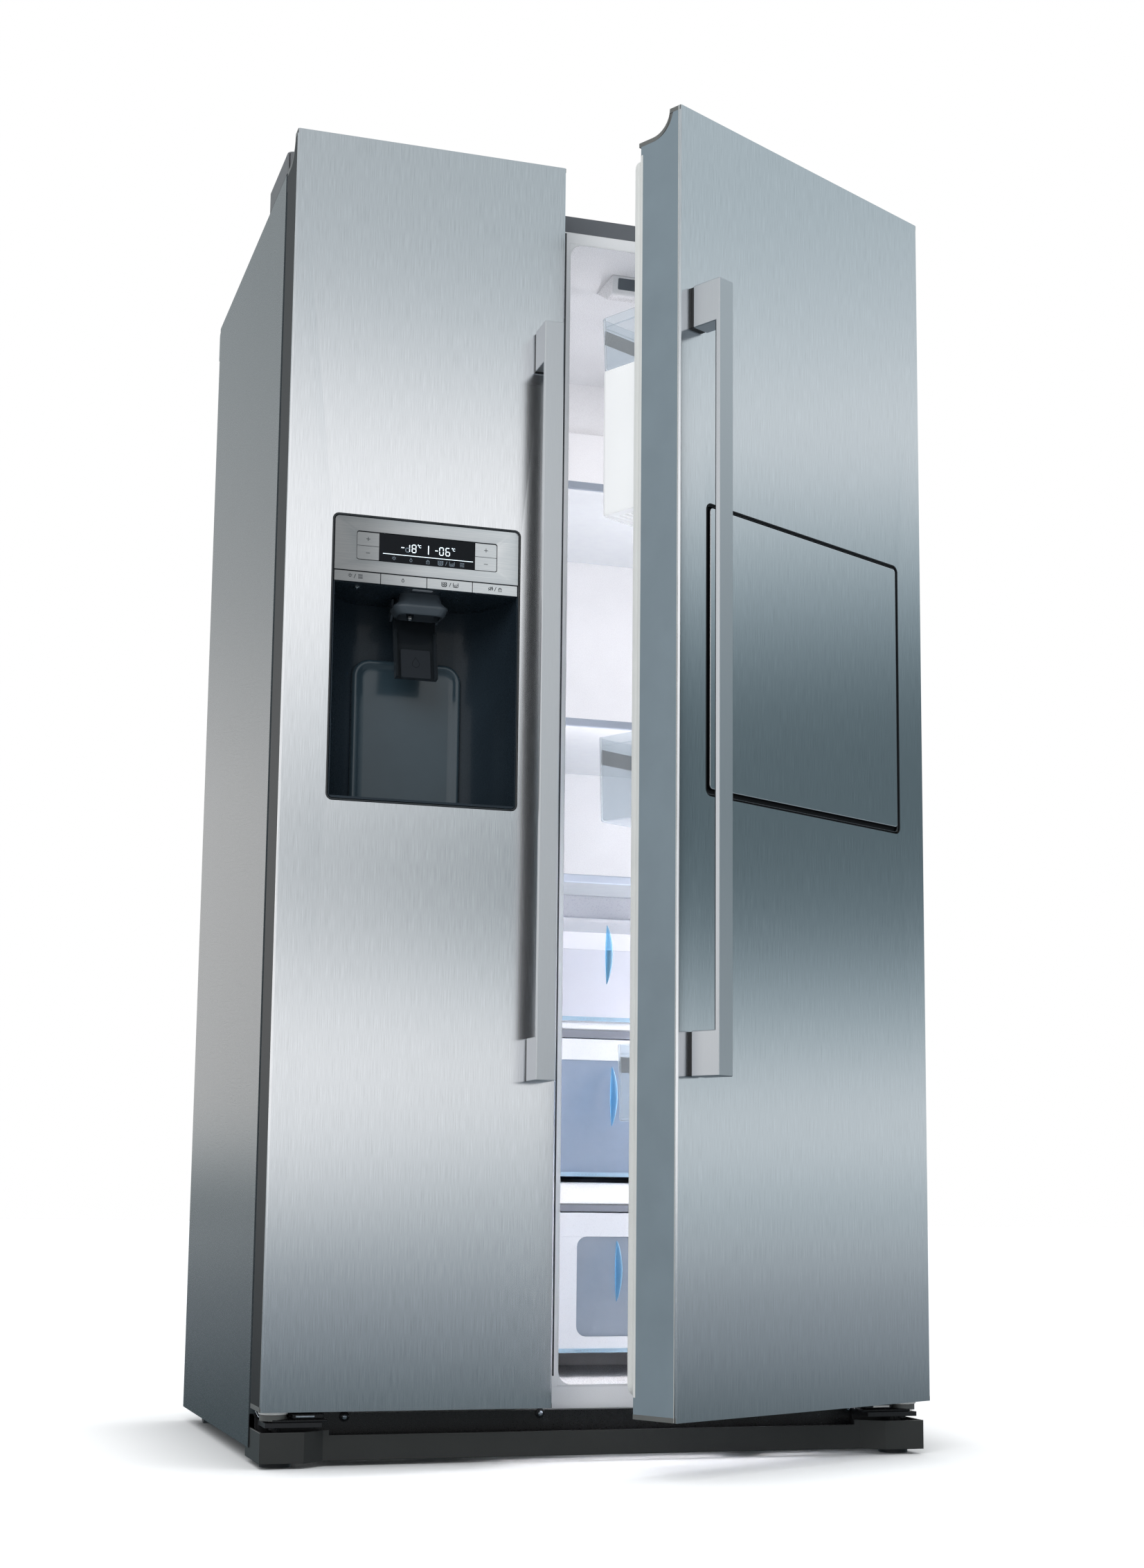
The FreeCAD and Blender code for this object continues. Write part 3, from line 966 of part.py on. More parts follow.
def make_dispenser():
    x = dispenser_x
    middle = (x[0] + x[1]) / 2
    rim = rounded(x, (0, TRIM_DEPTH), (DISPENSER_BOTTOM, DISPENSER_TOP), DISPENSER_CORNER, 1)
    inner_x = (x[0] + TRIM_WIDTH, x[1] - TRIM_WIDTH)
    inner_z = (DISPENSER_BOTTOM + TRIM_WIDTH, DISPENSER_TOP - TRIM_WIDTH)
    hole = rounded(inner_x, (-1, TRIM_DEPTH + 1), inner_z, DISPENSER_CORNER - TRIM_WIDTH, 1)
    trim = rim.cut(hole)
    save("dispenser_trim", trim)

    housing_low = inner_z[0]
    housing_top = KEY_ROW_BOTTOM + HOUSING_WALL
    outside = raised(cavity_plan(HOUSING_WALL, PANEL_THICKNESS + PANEL_LINE), inner_z[0], housing_top)
    inside = raised(cavity_plan(0, -1), housing_low + HOUSING_WALL, KEY_ROW_BOTTOM - KEY_GAP)
    plate = rounded((middle - BACK_PLATE_WIDTH / 2, middle + BACK_PLATE_WIDTH / 2),
                    (CAVITY_DEPTH - BACK_PLATE_PROUD, CAVITY_DEPTH + HOUSING_WALL / 2),
                    (housing_low - BACK_PLATE_CORNER, BACK_PLATE_TOP), BACK_PLATE_CORNER, 1)
    plate = plate.common(box(x, (0, CAVITY_DEPTH + HOUSING_WALL), (housing_low + HOUSING_WALL / 2, BACK_PLATE_TOP)))
    lip = box(inner_x, (0, PANEL_THICKNESS + PANEL_LINE), (inner_z[0], KEY_ROW_BOTTOM - KEY_GAP))
    shell = fuse([outside, lip]).cut(inside).cut(trim)
    save("dispenser_housing", fuse([shell, plate]))

    display_x = (middle - DISPLAY_WIDTH / 2, middle + DISPLAY_WIDTH / 2)
    display_z = (DISPLAY_BOTTOM, DISPLAY_BOTTOM + DISPLAY_HEIGHT)
    keys_x = (display_x[0] - TEMP_KEY_WIDTH, display_x[1] + TEMP_KEY_WIDTH)
    row_top = KEY_ROW_BOTTOM + KEY_ROW_HEIGHT
    panel_x = (inner_x[0] + PANEL_LINE / 4, inner_x[1] - PANEL_LINE / 4)
    face = box(panel_x, (PANEL_LINE, PANEL_LINE + PANEL_THICKNESS), (row_top, inner_z[1] - PANEL_LINE / 4))
    wells = [box((display_x[0] - TEMP_KEY_WIDTH - KEY_GAP, display_x[0]), (0, PANEL_THICKNESS - 1), display_z),
             box((display_x[1], display_x[1] + TEMP_KEY_WIDTH + KEY_GAP), (0, PANEL_THICKNESS - 1), display_z),
             box(display_x, (0, PANEL_LINE + DISPLAY_SINK), display_z)]
    carrier = box(panel_x, (PANEL_THICKNESS + PANEL_LINE, TRIM_DEPTH + CARRIER_DEPTH),
                  (KEY_ROW_BOTTOM + HOUSING_WALL, inner_z[1] - PANEL_LINE / 4))
    save("control_panel", fuse([cut(face, wells), carrier]).cut(trim))

    key_z = (display_z[0] + KEY_GAP / 2, display_z[1] - KEY_GAP / 2)
    key_y = (PANEL_LINE - KEY_PROUD, PANEL_LINE - KEY_PROUD + KEY_SHEET)
    save("freezer_temp_key", box((keys_x[0] - KEY_GAP / 2, display_x[0] - KEY_GAP / 2), key_y, key_z))
    save("fridge_temp_key", box((display_x[1] + KEY_GAP / 2, keys_x[1] + KEY_GAP / 2), key_y, key_z))

    span = panel_x[1] - panel_x[0]
    row_z = (KEY_ROW_BOTTOM, row_top - KEY_GAP)
    for n, name in enumerate(("lamp_key", "water_key", "ice_key", "lock_key")):
        key_x = (panel_x[0] + n * span / 4 + KEY_GAP / 2, panel_x[0] + (n + 1) * span / 4 - KEY_GAP / 2)
        save(name, box(key_x, (PANEL_LINE, PANEL_LINE + KEY_DEPTH), row_z))

    half = SPOUT_WIDTH / 2
    top_z = KEY_ROW_BOTTOM - KEY_GAP
    low_z = top_z - SPOUT_HEIGHT
    spout_y = (SPOUT_FRONT, SPOUT_FRONT + SPOUT_DEPTH)
    outer = prism([(middle - half, top_z), (middle + half, top_z), (middle + half - SPOUT_TAPER, low_z),
                   (middle - half + SPOUT_TAPER, low_z)], 1, *spout_y)
    inner = prism([(middle - half + SPOUT_WALL, top_z - SPOUT_WALL), (middle + half - SPOUT_WALL, top_z - SPOUT_WALL),
                   (middle + half - SPOUT_TAPER - SPOUT_WALL, low_z - 1),
                   (middle - half + SPOUT_TAPER + SPOUT_WALL, low_z - 1)], 1, spout_y[0] + SPOUT_WALL,
                  spout_y[1] - SPOUT_WALL)
    nozzle_at = (middle - NOZZLE_SIDE, spout_y[0] + NOZZLE_BACK)
    nozzle = rod(nozzle_at, 2, NOZZLE_RADIUS, low_z - NOZZLE_DROP, top_z - SPOUT_WALL)
    bore = rod(nozzle_at, 2, NOZZLE_BORE, low_z - NOZZLE_DROP - 1, top_z - 2 * SPOUT_WALL)
    ears = []
    for side in (-1, 1):
        ear_x = sorted((middle + side * (PADDLE_WIDTH / 2 + KEY_GAP),
                        middle + side * (PADDLE_WIDTH / 2 + KEY_GAP + PADDLE_THICKNESS)))
        ears.append(box(ear_x, (spout_y[1] - SPOUT_WALL, PADDLE_PIVOT_Y + 2 * PADDLE_PIN),
                        (PADDLE_PIVOT_Z - 2 * PADDLE_PIN, top_z)))
    pivot_hole = rod((PADDLE_PIVOT_Y, PADDLE_PIVOT_Z), 0, PADDLE_PIN + PIN_CLEARANCE, middle - half, middle + half)
    save("ice_spout", fuse([outer.cut(inner), nozzle] + ears).cut(pivot_hole).cut(bore))

    blade_x = (middle - PADDLE_WIDTH / 2, middle + PADDLE_WIDTH / 2)
    blade_y = (PADDLE_PIVOT_Y - PADDLE_THICKNESS / 2, PADDLE_PIVOT_Y + PADDLE_THICKNESS / 2)
    cheek_top = PADDLE_PIVOT_Z - (PADDLE_PIVOT_Z - PADDLE_BOTTOM) / 4
    blade = box(blade_x, blade_y, (PADDLE_BOTTOM, PADDLE_PIVOT_Z))
    rim = (blade_y[0] - PADDLE_RIM, blade_y[1])
    cheeks = [box((blade_x[0], blade_x[0] + PADDLE_THICKNESS), rim, (PADDLE_BOTTOM, cheek_top)),
              box((blade_x[1] - PADDLE_THICKNESS, blade_x[1]), rim, (PADDLE_BOTTOM, cheek_top))]
    pad = rounded((middle - PADDLE_PAD_WIDTH / 2, middle + PADDLE_PAD_WIDTH / 2),
                  (blade_y[0] - PADDLE_THICKNESS, blade_y[1]),
                  (PADDLE_BOTTOM, PADDLE_BOTTOM + PADDLE_PAD_HEIGHT), PAD_CORNER, 1)
    tip = PADDLE_WIDTH / 2 + KEY_GAP + PADDLE_THICKNESS
    barrel = rod((PADDLE_PIVOT_Y, PADDLE_PIVOT_Z), 0, PADDLE_PIN, middle - tip, middle + tip)
    paddle = fuse([blade, barrel, pad] + cheeks)
    paddle.rotate(FreeCAD.Vector(0, PADDLE_PIVOT_Y, PADDLE_PIVOT_Z), FreeCAD.Vector(1, 0, 0), -PADDLE_LEAN)
    save("dispenser_paddle", paddle)


def make_fridge_door():
    window = (bar_x[0], bar_x[1], BAR_BOTTOM, BAR_TOP)
    top, bottom, bush = make_caps(fridge_door, hinge_x)
    save_ajar("fridge_door_skin", make_skin(fridge_door, window, BAR_CORNER))
    save_ajar("fridge_door_caps", top, bottom, bush)
    save_ajar("fridge_door_core", *make_core(fridge_door, window))
    save_ajar("fridge_door_gasket", make_gasket(fridge_door, False))
    save_ajar("fridge_handle", *make_handle(fridge_door[0] + FRIDGE_HANDLE_INSET))
    tunnel = (bar_x[0] + BAR_BLOCK_INSET, bar_x[1] - BAR_BLOCK_INSET, BAR_BOTTOM + BAR_BLOCK_INSET,
              BAR_TOP - BAR_BLOCK_INSET)
    save_ajar("fridge_door_liner", door_panel(fridge_door, fridge_dykes, tunnel))

    bins = []
    x = (fridge_dykes[0] + DYKE_WIDTH, fridge_dykes[1] - DYKE_WIDTH)
    for low, high, depth in FRIDGE_BINS:
        outer = tray(x, (DOOR_DEPTH, DOOR_DEPTH + depth), (low, high), BIN_WALL, BIN_CORNER)
        bins.append(outer)
    storage = tray(x, (DOOR_DEPTH, DOOR_DEPTH + STORAGE_BOX_DEPTH), STORAGE_BOX, BIN_WALL, BIN_CORNER)
    save_ajar("fridge_door_bins", *bins, storage)

    frame_y = (0, door_back)
    rim = rounded((bar_x[0], bar_x[1]), frame_y, (BAR_BOTTOM, BAR_TOP), BAR_CORNER, 1)
    pocket = rounded((bar_x[0] + BAR_GROOVE / 2, bar_x[1] - BAR_GROOVE / 2), (-1, BAR_FRAME_DEPTH),
                     (BAR_BOTTOM + BAR_SILL_GAP, BAR_TOP - BAR_GROOVE / 2), BAR_CORNER - BAR_GROOVE / 2, 1)
    mouth = rounded((tunnel[0], tunnel[1]), (-1, door_back + 1), (tunnel[2], tunnel[3]), BAR_CORNER, 1)
    pin_z = BAR_BOTTOM + BAR_PIN_RISE
    pin_hole = rod((BAR_PIN_Y, pin_z), 0, BAR_PIN + PIN_CLEARANCE, bar_x[0] + BAR_GROOVE / 8, bar_x[1] - BAR_GROOVE / 8)
    save_ajar("home_bar_frame", rim.cut(pocket).cut(mouth).cut(pin_hole))

    flap_x = (bar_x[0] + BAR_GROOVE, bar_x[1] - BAR_GROOVE)
    flap_z = (pin_z - BAR_PLATE_DROP, BAR_TOP - BAR_GROOVE)
    plate = rounded(flap_x, (0, BAR_FLAP_SHEET), flap_z, BAR_CORNER - BAR_GROOVE, 1)
    plate = plate.makeFillet(BAR_HEEL_ROUND, [e for e in plate.Edges if along(e, 0) and e.BoundBox.ZMax < pin_z])
    block = rounded((tunnel[0] + BAR_BLOCK_GAP, tunnel[1] - BAR_BLOCK_GAP),
                    (BAR_FLAP_SHEET, BAR_FLAP_SHEET + BAR_BLOCK_DEPTH),
                    (tunnel[2] + BAR_BLOCK_DEPTH, tunnel[3] - BAR_BLOCK_GAP), BAR_CORNER, 1)
    barrel = rod((BAR_PIN_Y, pin_z), 0, BAR_PIN, bar_x[0] + BAR_GROOVE / 4, bar_x[1] - BAR_GROOVE / 4)
    save_ajar("home_bar_flap", fuse([plate, block, barrel]))


os.makedirs("parts", exist_ok=True)
make_casing()
make_breaker_frame()
make_insulation()
rail_front = SHELF_FRONT + SHELF_TRIM_DEPTH
freezer_rail_top = FREEZER_DRAWER[0] - DRAWER_SEAT_GAP
freezer_rails = runners(freezer_box, (rail_front, DUCT_FRONT - DUCT_SHEET),
                        (freezer_rail_top - RUNNER_HEIGHT, freezer_rail_top), LINER / 2)
make_liner("freezer_liner", freezer_box, FREEZER_SHELVES, DUCT_FRONT - DUCT_SHEET, freezer_rails)
fridge_rail_top = BOTTOM_DRAWER[0] - DRAWER_SEAT_GAP
fridge_rails = runners(fridge_box, (rail_front, step_y - LINER / 2),
                       (fridge_rail_top - RUNNER_HEIGHT, fridge_rail_top), LINER / 2)
make_liner("fridge_liner", fridge_box, FRIDGE_SHELVES + (CRISPER_LID_TOP - SHELF_GLASS,), SHELF_BACK, fridge_rails)
make_hinges()
make_base()
make_plinth()
make_machine_space()
make_air_ducts()
make_shelves()
make_drawers()
make_ice_maker()
make_freezer_door()
make_dispenser()
make_fridge_door()
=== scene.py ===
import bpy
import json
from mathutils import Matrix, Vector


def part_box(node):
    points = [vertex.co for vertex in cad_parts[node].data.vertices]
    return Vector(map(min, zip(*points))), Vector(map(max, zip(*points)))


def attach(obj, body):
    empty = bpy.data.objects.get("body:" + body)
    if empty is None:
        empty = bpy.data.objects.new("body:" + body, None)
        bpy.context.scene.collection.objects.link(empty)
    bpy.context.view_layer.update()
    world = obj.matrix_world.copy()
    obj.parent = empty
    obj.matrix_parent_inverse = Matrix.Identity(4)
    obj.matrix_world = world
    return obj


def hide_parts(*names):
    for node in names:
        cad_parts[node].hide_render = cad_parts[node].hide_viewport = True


bl_info = {
    "name": "Side by Side Refrigerator",
    "version": (1, 0, 0),
    "blender": (4, 5, 0),
    "location": "3D View > Sidebar > Refrigerator",
    "description": "Steel doors, dispenser, home bar, lit interior and base of a side by side refrigerator",
    "category": "Object",
}

import json
import math

import bmesh
import bpy
from bpy.props import FloatProperty, FloatVectorProperty, PointerProperty
from mathutils import Matrix, Vector

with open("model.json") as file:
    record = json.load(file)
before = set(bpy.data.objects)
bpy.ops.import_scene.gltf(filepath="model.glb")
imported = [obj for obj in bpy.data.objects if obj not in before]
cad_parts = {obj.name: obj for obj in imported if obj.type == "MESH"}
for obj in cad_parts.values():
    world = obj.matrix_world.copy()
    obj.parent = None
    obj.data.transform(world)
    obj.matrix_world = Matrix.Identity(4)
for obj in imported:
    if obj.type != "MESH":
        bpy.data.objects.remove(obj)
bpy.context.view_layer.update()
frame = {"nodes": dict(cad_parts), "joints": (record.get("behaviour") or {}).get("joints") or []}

# ---- places taken from the frame ----
# Pieces are drawn in millimetres with the doors shut: X to the right, Y = 0 on the doors' front face, Z up.
MM = 0.001
FACE_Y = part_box("freezer_door_skin")[0].y
HINGE = next(j for j in frame["joints"] if j["name"] == "fridge_door_hinge")
PIVOT = Vector(HINGE["pos_m"])
CABINET = Matrix.Translation((0.0, FACE_Y, 0.0))
AJAR = (Matrix.Translation(PIVOT) @ Matrix.Rotation(math.radians(-HINGE["range_deg"][0]), 4, "Z")
        @ Matrix.Translation(-PIVOT) @ CABINET)
PLACES = {"fridge_door": AJAR, "home_bar_flap": AJAR}


def shut_box(name):
    """Lowest and highest corners of a node with its door shut."""
    on_fridge_door = name.startswith("fridge_door") or name in ("fridge_handle", "home_bar_flap")
    back = (AJAR if on_fridge_door else CABINET).inverted()
    corners = [(back @ v.co) / MM for v in frame["nodes"][name].data.vertices]
    return tuple(Vector([pick(c[i] for c in corners) for i in range(3)]) for pick in (min, max))


# ---- settings ----
def number(name, text, default, **kind):
    """A plain number."""
    return FloatProperty(name=name, description=text, default=default, **kind)


def length(name, text, default):
    """A length given in millimetres and kept in metres."""
    return number(name, text, default * MM, unit="LENGTH", precision=5)


def colour(name, text, default):
    """A colour; text names what wears it."""
    return FloatVectorProperty(name=name, description="Colour of " + text, default=default, subtype="COLOR",
                               size=3, min=0.0, max=1.0)


class STUDIO_PG_settings(bpy.types.PropertyGroup):
    lens: number("Lens", "Focal length of the camera in mm", 51.83)
    camera_yaw: number("Yaw", "Camera's turn about the upright", -0.303, subtype="ANGLE")
    camera_pitch: number("Pitch", "Camera's upward tilt", 0.147, subtype="ANGLE")
    camera_roll: number("Roll", "Camera's roll", 0.011, subtype="ANGLE")
    camera_side: length("Camera side", "Camera's place across the cabinet", -953.3)
    camera_back: length("Camera distance", "Camera's place in front of the shut doors", -2843.3)
    camera_height: length("Camera height", "Camera's height over the floor", 332.9)
    floor_colour: colour("Floor colour", "the floor", (0.86, 0.87, 0.88))
    floor_lift: number("Floor lift", "How much the floor glows of itself", 0.56)
    key_energy: number("Key light", "Power of the large front light in watts", 55.0)
    fill_energy: number("Fill light", "Power of the side light in watts", 22.0)
    sky_level: number("Sky level", "Strength of the even light from all round", 0.62)


class DOOR_PG_settings(bpy.types.PropertyGroup):
    steel: colour("Steel", "the brushed steel", (0.768, 0.783, 0.808))
    edge: colour("Edge", "the doors' coated sides", (0.225, 0.285, 0.325))
    # painted shade: a near-black copy of the coated side's colour, worn by the hinge sides
    hinge_side_painted_shade: colour("Hinge side painted shade", "the coated side beside the hinges", (0.012, 0.014, 0.016))
    # partly painted highlight: the light line along the face sheet's edges
    bright: colour("Sheet edge highlight", "the face's cut edges", (0.72, 0.73, 0.70))
    cap: colour("Cap", "the doors' end caps", (0.15, 0.155, 0.15))
    gasket: colour("Gasket", "the door seals", (0.80, 0.81, 0.79))
    edge_radius: length("Edge radius", "Radius of the steel's folded edges", 2.5)
    wrap: length("Wrap", "How far the brushed face wraps round the edges", 4.0)
    sheet: length("Sheet", "Thickness of the door steel", 1.0)
    cap_band: length("Cap band", "Height of the cap's band over the steel", 6.0)


class HANDLE_PG_settings(bpy.types.PropertyGroup):
    metal: colour("Aluminium", "the satin aluminium", (0.655, 0.672, 0.697))
    chamfer: length("Chamfer", "Width of the bar's polished edge", 1.3)


class DISPENSER_PG_settings(bpy.types.PropertyGroup):
    panel: colour("Panel", "the control panel's steel", (0.93, 0.955, 0.985))
    housing: colour("Recess", "the recess", (0.020, 0.031, 0.042))
    plate: colour("Back plate", "the recess's back plate", (0.038, 0.064, 0.083))
    spout: colour("Spout", "the spout", (0.06, 0.075, 0.09))
    glow: colour("Display glow", "the lit digits", (0.80, 0.92, 1.0))
    print_tone: colour("Symbols", "the printed symbols", (0.02, 0.025, 0.03))


class HOMEBAR_PG_settings(bpy.types.PropertyGroup):
    groove: colour("Groove", "the groove round the flap", (0.008, 0.009, 0.011))
    bead: colour("Bead", "the thin bead in the groove", (0.07, 0.08, 0.09))
    groove_width: length("Groove width", "Width of the groove round the flap", 5.5)


class INTERIOR_PG_settings(bpy.types.PropertyGroup):
    white: colour("White", "the liners", (0.885, 0.893, 0.905))
    clear: colour("Clear plastic", "the bins", (0.93, 0.96, 0.985))
    trim: colour("Shelf trims", "the shelves' front trims", (0.40, 0.45, 0.53))
    band: colour("Crisper trim", "the band over the drawers", (0.31, 0.33, 0.37))
    chrome: colour("Bin bands", "the bins' dark chromed bands", (0.022, 0.028, 0.035))
    # painted shade: grey strips that stand in for the shade in the gaps under the drawer dividers
    gap_shade: colour("Painted gap shade", "the strips under the dividers", (0.19, 0.205, 0.24))
    box: colour("Storage box", "the storage box", (0.91, 0.92, 0.93))
    rim: colour("Drawer rims", "the drawers' rims", (0.60, 0.63, 0.67))
    window: colour("Drawer windows", "the middle drawer's tinted front", (0.34, 0.42, 0.54))
    low_window: colour("Low window", "the bottom drawer's tinted front", (0.29, 0.34, 0.41))
    grip: colour("Grips", "the drawers' grips", (0.48, 0.75, 0.92))
    lamp_power: number("Lamp power", "Power of the inside lamps in watts", 0.82)


class BASE_PG_settings(bpy.types.PropertyGroup):
    casing: colour("Casing", "the coated casing", (0.05, 0.064, 0.071))
    top: colour("Top", "the top panel's band", (0.125, 0.135, 0.15))
    plinth: colour("Plinth", "the plinth", (0.033, 0.034, 0.033))
    bush: colour("Bushes", "the hinge bushes", (0.93, 0.94, 0.93))


# ---- materials ----
def fill(tree, made, inputs):
    """Sets a node's inputs to values, or links them from other nodes' outputs."""
    for key, value in inputs.items():
        if isinstance(value, bpy.types.NodeSocket):
            tree.links.new(value, made.inputs[key])
        else:
            made.inputs[key].default_value = value


def node(tree, kind, inputs=None, out=0, **values):
    """Adds a shader node, fills its inputs and returns one of its outputs."""
    made = tree.nodes.new("ShaderNode" + kind)
    for key, value in values.items():
        setattr(made, key, value)
    fill(tree, made, inputs or {})
    return made.outputs[out]


def maths(tree, operation, first, second):
    """One sum on two values or outputs."""
    return node(tree, "Math", {0: first, 1: second}, operation=operation)


def mix(tree, share, first, second):
    """Goes from the first surface to the second by the share."""
    return node(tree, "MixShader", {"Fac": share, 1: first, 2: second})


def ray_kinds(tree):
    """Whether a ray comes straight from the camera or through clear plastic, and whether it is mirrored."""
    rays = node(tree, "LightPath").node.outputs
    return maths(tree, "MAXIMUM", rays["Is Camera Ray"], rays["Is Transmission Ray"]), rays["Is Glossy Ray"]


def noise(tree, scale, stretch=(1, 1, 1), detail=3.0, rough=0.5):
    """A noise texture on object coordinates, stretched along the axes."""
    place = node(tree, "Mapping", {"Vector": node(tree, "TexCoord", out="Object"), "Scale": stretch})
    return node(tree, "TexNoise", {"Vector": place, "Scale": scale, "Detail": detail, "Roughness": rough})


def spread(tree, source, low, high):
    """Maps a noise's usual values onto low to high."""
    return node(tree, "MapRange", {"Value": source, "From Min": 0.3, "From Max": 0.7,
                                   "To Min": low, "To Max": high})


def ramp(tree, source, stops, interpolation="LINEAR"):
    """Colours by value; stops hold (position, colour)."""
    made = node(tree, "ValToRGB", {"Fac": source})
    bar = made.node.color_ramp
    bar.interpolation = interpolation
    for spare in range(len(stops) - 2):
        bar.elements.new(0.5)
    for element, (position, tint) in zip(bar.elements, stops):
        element.position = position
        element.color = tint
    return made


def shaded(tint, factor):
    """The colour made lighter or darker, and opaque."""
    return tuple(min(1.0, c * factor) for c in tint[:3]) + (1.0,)


def two_tone(tree, source, tint, depth):
    """Colour that wanders by a few percent round the given one."""
    return ramp(tree, source, ((0.3, shaded(tint, 1.0 - depth)), (0.7, shaded(tint, 1.0 + depth))))


def relief(tree, source, strength, distance, edge=0.0):
    """Bump from a texture, on top of softened edges where there are any; lengths in millimetres."""
    inputs = {"Height": source, "Strength": strength, "Distance": distance * MM}
    if edge:
        inputs["Normal"] = node(tree, "Bevel", {"Radius": edge * MM}, samples=4)
    return node(tree, "Bump", inputs)


def blank(name):
    """A new material, its tree and its shader."""
    made = bpy.data.materials.new(name)
    made.use_nodes = True
    return made, made.node_tree, made.node_tree.nodes["Principled BSDF"]


def moulded(name, tint, rough, grain=900, depth=0.04, bump=0.12, edge=0.6, metal=0.0, coat=0.0,
            specular=0.5):
    """Painted or moulded surface: fine grain in relief, slow changes of tone and gloss."""
    made, tree, shader = blank(name)
    slow, fine = noise(tree, 14.0, detail=4.0), noise(tree, grain, detail=2.0)
    fill(tree, shader, {"Base Color": two_tone(tree, slow, tint, depth),
                        "Roughness": spread(tree, fine, max(0.02, rough - 0.05), rough + 0.05),
                        "Normal": relief(tree, fine, bump, 0.1, edge), "Metallic": metal,
                        "Coat Weight": coat, "Coat Roughness": 0.08, "Specular IOR Level": specular})
    return made


def painted_sheen_across(tree, tone, stops):
    """Painted sheen: multiplies a colour by a brightness that changes across the width; stops hold (X,
    brightness).
    """
    start, end = stops[0][0], stops[-1][0]
    parts = node(tree, "SeparateXYZ", {"Vector": node(tree, "TexCoord", out="Object")}, "X")
    across = node(tree, "MapRange", {"Value": parts, "From Min": start * MM, "From Max": end * MM})
    shade = ramp(tree, across, [((x - start) / (end - start), (bright, bright, bright, 1))
                                for x, bright in stops])
    return node(tree, "Mix", {"Factor": 1.0, "A": tone, "B": shade}, "Result", data_type="RGBA",
                blend_type="MULTIPLY")


# how much the brushed grain is drawn out along its run, and the share of its scratches beside its bands
GRAIN_SQUASH = 0.012
SCRATCH_SHARE = 0.93


def brushed(name, tint, rough, vertical=True, lean=1.0, streak=0.05, bump=0.05, painted_sheen=()):
    """Brushed metal with vertical or level grain and fine scratches; painted_sheen is a painted reflection,
    its brightness across X multiplied into the colour.
    """
    made, tree, shader = blank(name)
    stretch = (1.0, 1.0, GRAIN_SQUASH) if vertical else (GRAIN_SQUASH, 1.0, 1.0)
    scratches, bands = noise(tree, 2600.0, stretch, 3.0, 0.6), noise(tree, 260.0, stretch, 2.0)
    mixed = node(tree, "Math", {0: bands, 1: 1 - SCRATCH_SHARE,
                                2: maths(tree, "MULTIPLY", scratches, SCRATCH_SHARE)},
                 operation="MULTIPLY_ADD")
    tone = two_tone(tree, mixed, tint, streak)
    fill(tree, shader, {"Base Color": painted_sheen_across(tree, tone, painted_sheen) if painted_sheen else tone,
                        "Roughness": spread(tree, scratches, rough - 0.01, rough + 0.015),
                        "Normal": relief(tree, scratches, bump, 0.02),
                        "Tangent": node(tree, "Tangent", direction_type="UV_MAP", uv_map="Grain"),
                        "Metallic": 1.0, "Anisotropic": lean,
                        "Anisotropic Rotation": 0.0 if vertical else 0.25})
    return made


def clear_plastic(name, tint, rough=0.06, tone=1.0, haze=0.08):
    """Thin clear moulding, mostly see-through; haze is its milkiness where it is seen face on."""
    made, tree, shader = blank(name)
    fine = noise(tree, 60.0)
    fill(tree, shader, {"Base Color": two_tone(tree, fine, tint, 0.02),
                        "Roughness": spread(tree, fine, rough, rough + 0.04),
                        "Normal": relief(tree, fine, 0.03, 0.1), "IOR": 1.45})
    through = node(tree, "BsdfTransparent", {"Color": shaded(tint, tone)})
    facing = node(tree, "LayerWeight", {"Blend": 0.35}, "Facing")
    share = node(tree, "MapRange", {"Value": facing, "To Min": haze, "To Max": max(0.7, haze)})
    fill(tree, tree.nodes["Material Output"], {"Surface": mix(tree, share, through,
                                                              shader.outputs["BSDF"])})
    return made


def glowing(name, tint, strength):
    """Lit surface, such as a digit."""
    made, tree, shader = blank(name)
    slow = noise(tree, 400.0)
    tone = two_tone(tree, slow, tint, 0.03)
    fill(tree, shader, {"Base Color": tone, "Emission Color": tone, "Emission Strength": strength,
                        "Roughness": spread(tree, slow, 0.3, 0.4)})
    return made


def dress(names, material):
    """Gives CAD nodes a finish."""
    for name in names.split():
        mesh = frame["nodes"][name].data
        mesh.materials.clear()
        mesh.materials.append(material)


# ---- outlines ----
def arc(cx, cz, radius, start, end, steps=12):
    """Points round a centre between two angles in degrees."""
    angles = [math.radians(start + (end - start) * i / steps) for i in range(steps + 1)]
    return [(cx + radius * math.cos(a), cz + radius * math.sin(a)) for a in angles]


def oval(cx, cy, rx, ry, steps):
    """Points once round an ellipse."""
    angles = [math.tau * i / steps for i in range(steps)]
    return [(cx + rx * math.cos(a), cy + ry * math.sin(a)) for a in angles]


def rounded(low, high, radius, steps=6):
    """Points of a rounded rectangle, low and high being opposite corners."""
    r = max(radius, 0.01)
    centres = ((high[0] - r, high[1] - r), (low[0] + r, high[1] - r), (low[0] + r, low[1] + r),
               (high[0] - r, low[1] + r))
    return [point for quarter, (cx, cy) in enumerate(centres)
            for point in arc(cx, cy, r, quarter * 90, quarter * 90 + 90, steps)]


def upright(points, y):
    """Outline points in X and Z set at a depth."""
    return [(x, y, z) for x, z in points]


def level(points, z):
    """Outline points in X and Y set at a height."""
    return [(x, y, z) for x, y in points]


def shrinking(box, radius, profile, steps=6):
    """Upright rounded outlines inside (left, right, low, high), one for each (inset, depth)."""
    left, right, low, high = box
    return [upright(rounded((left + inset, low + inset), (right - inset, high - inset), radius - inset,
                            steps), depth) for inset, depth in profile]


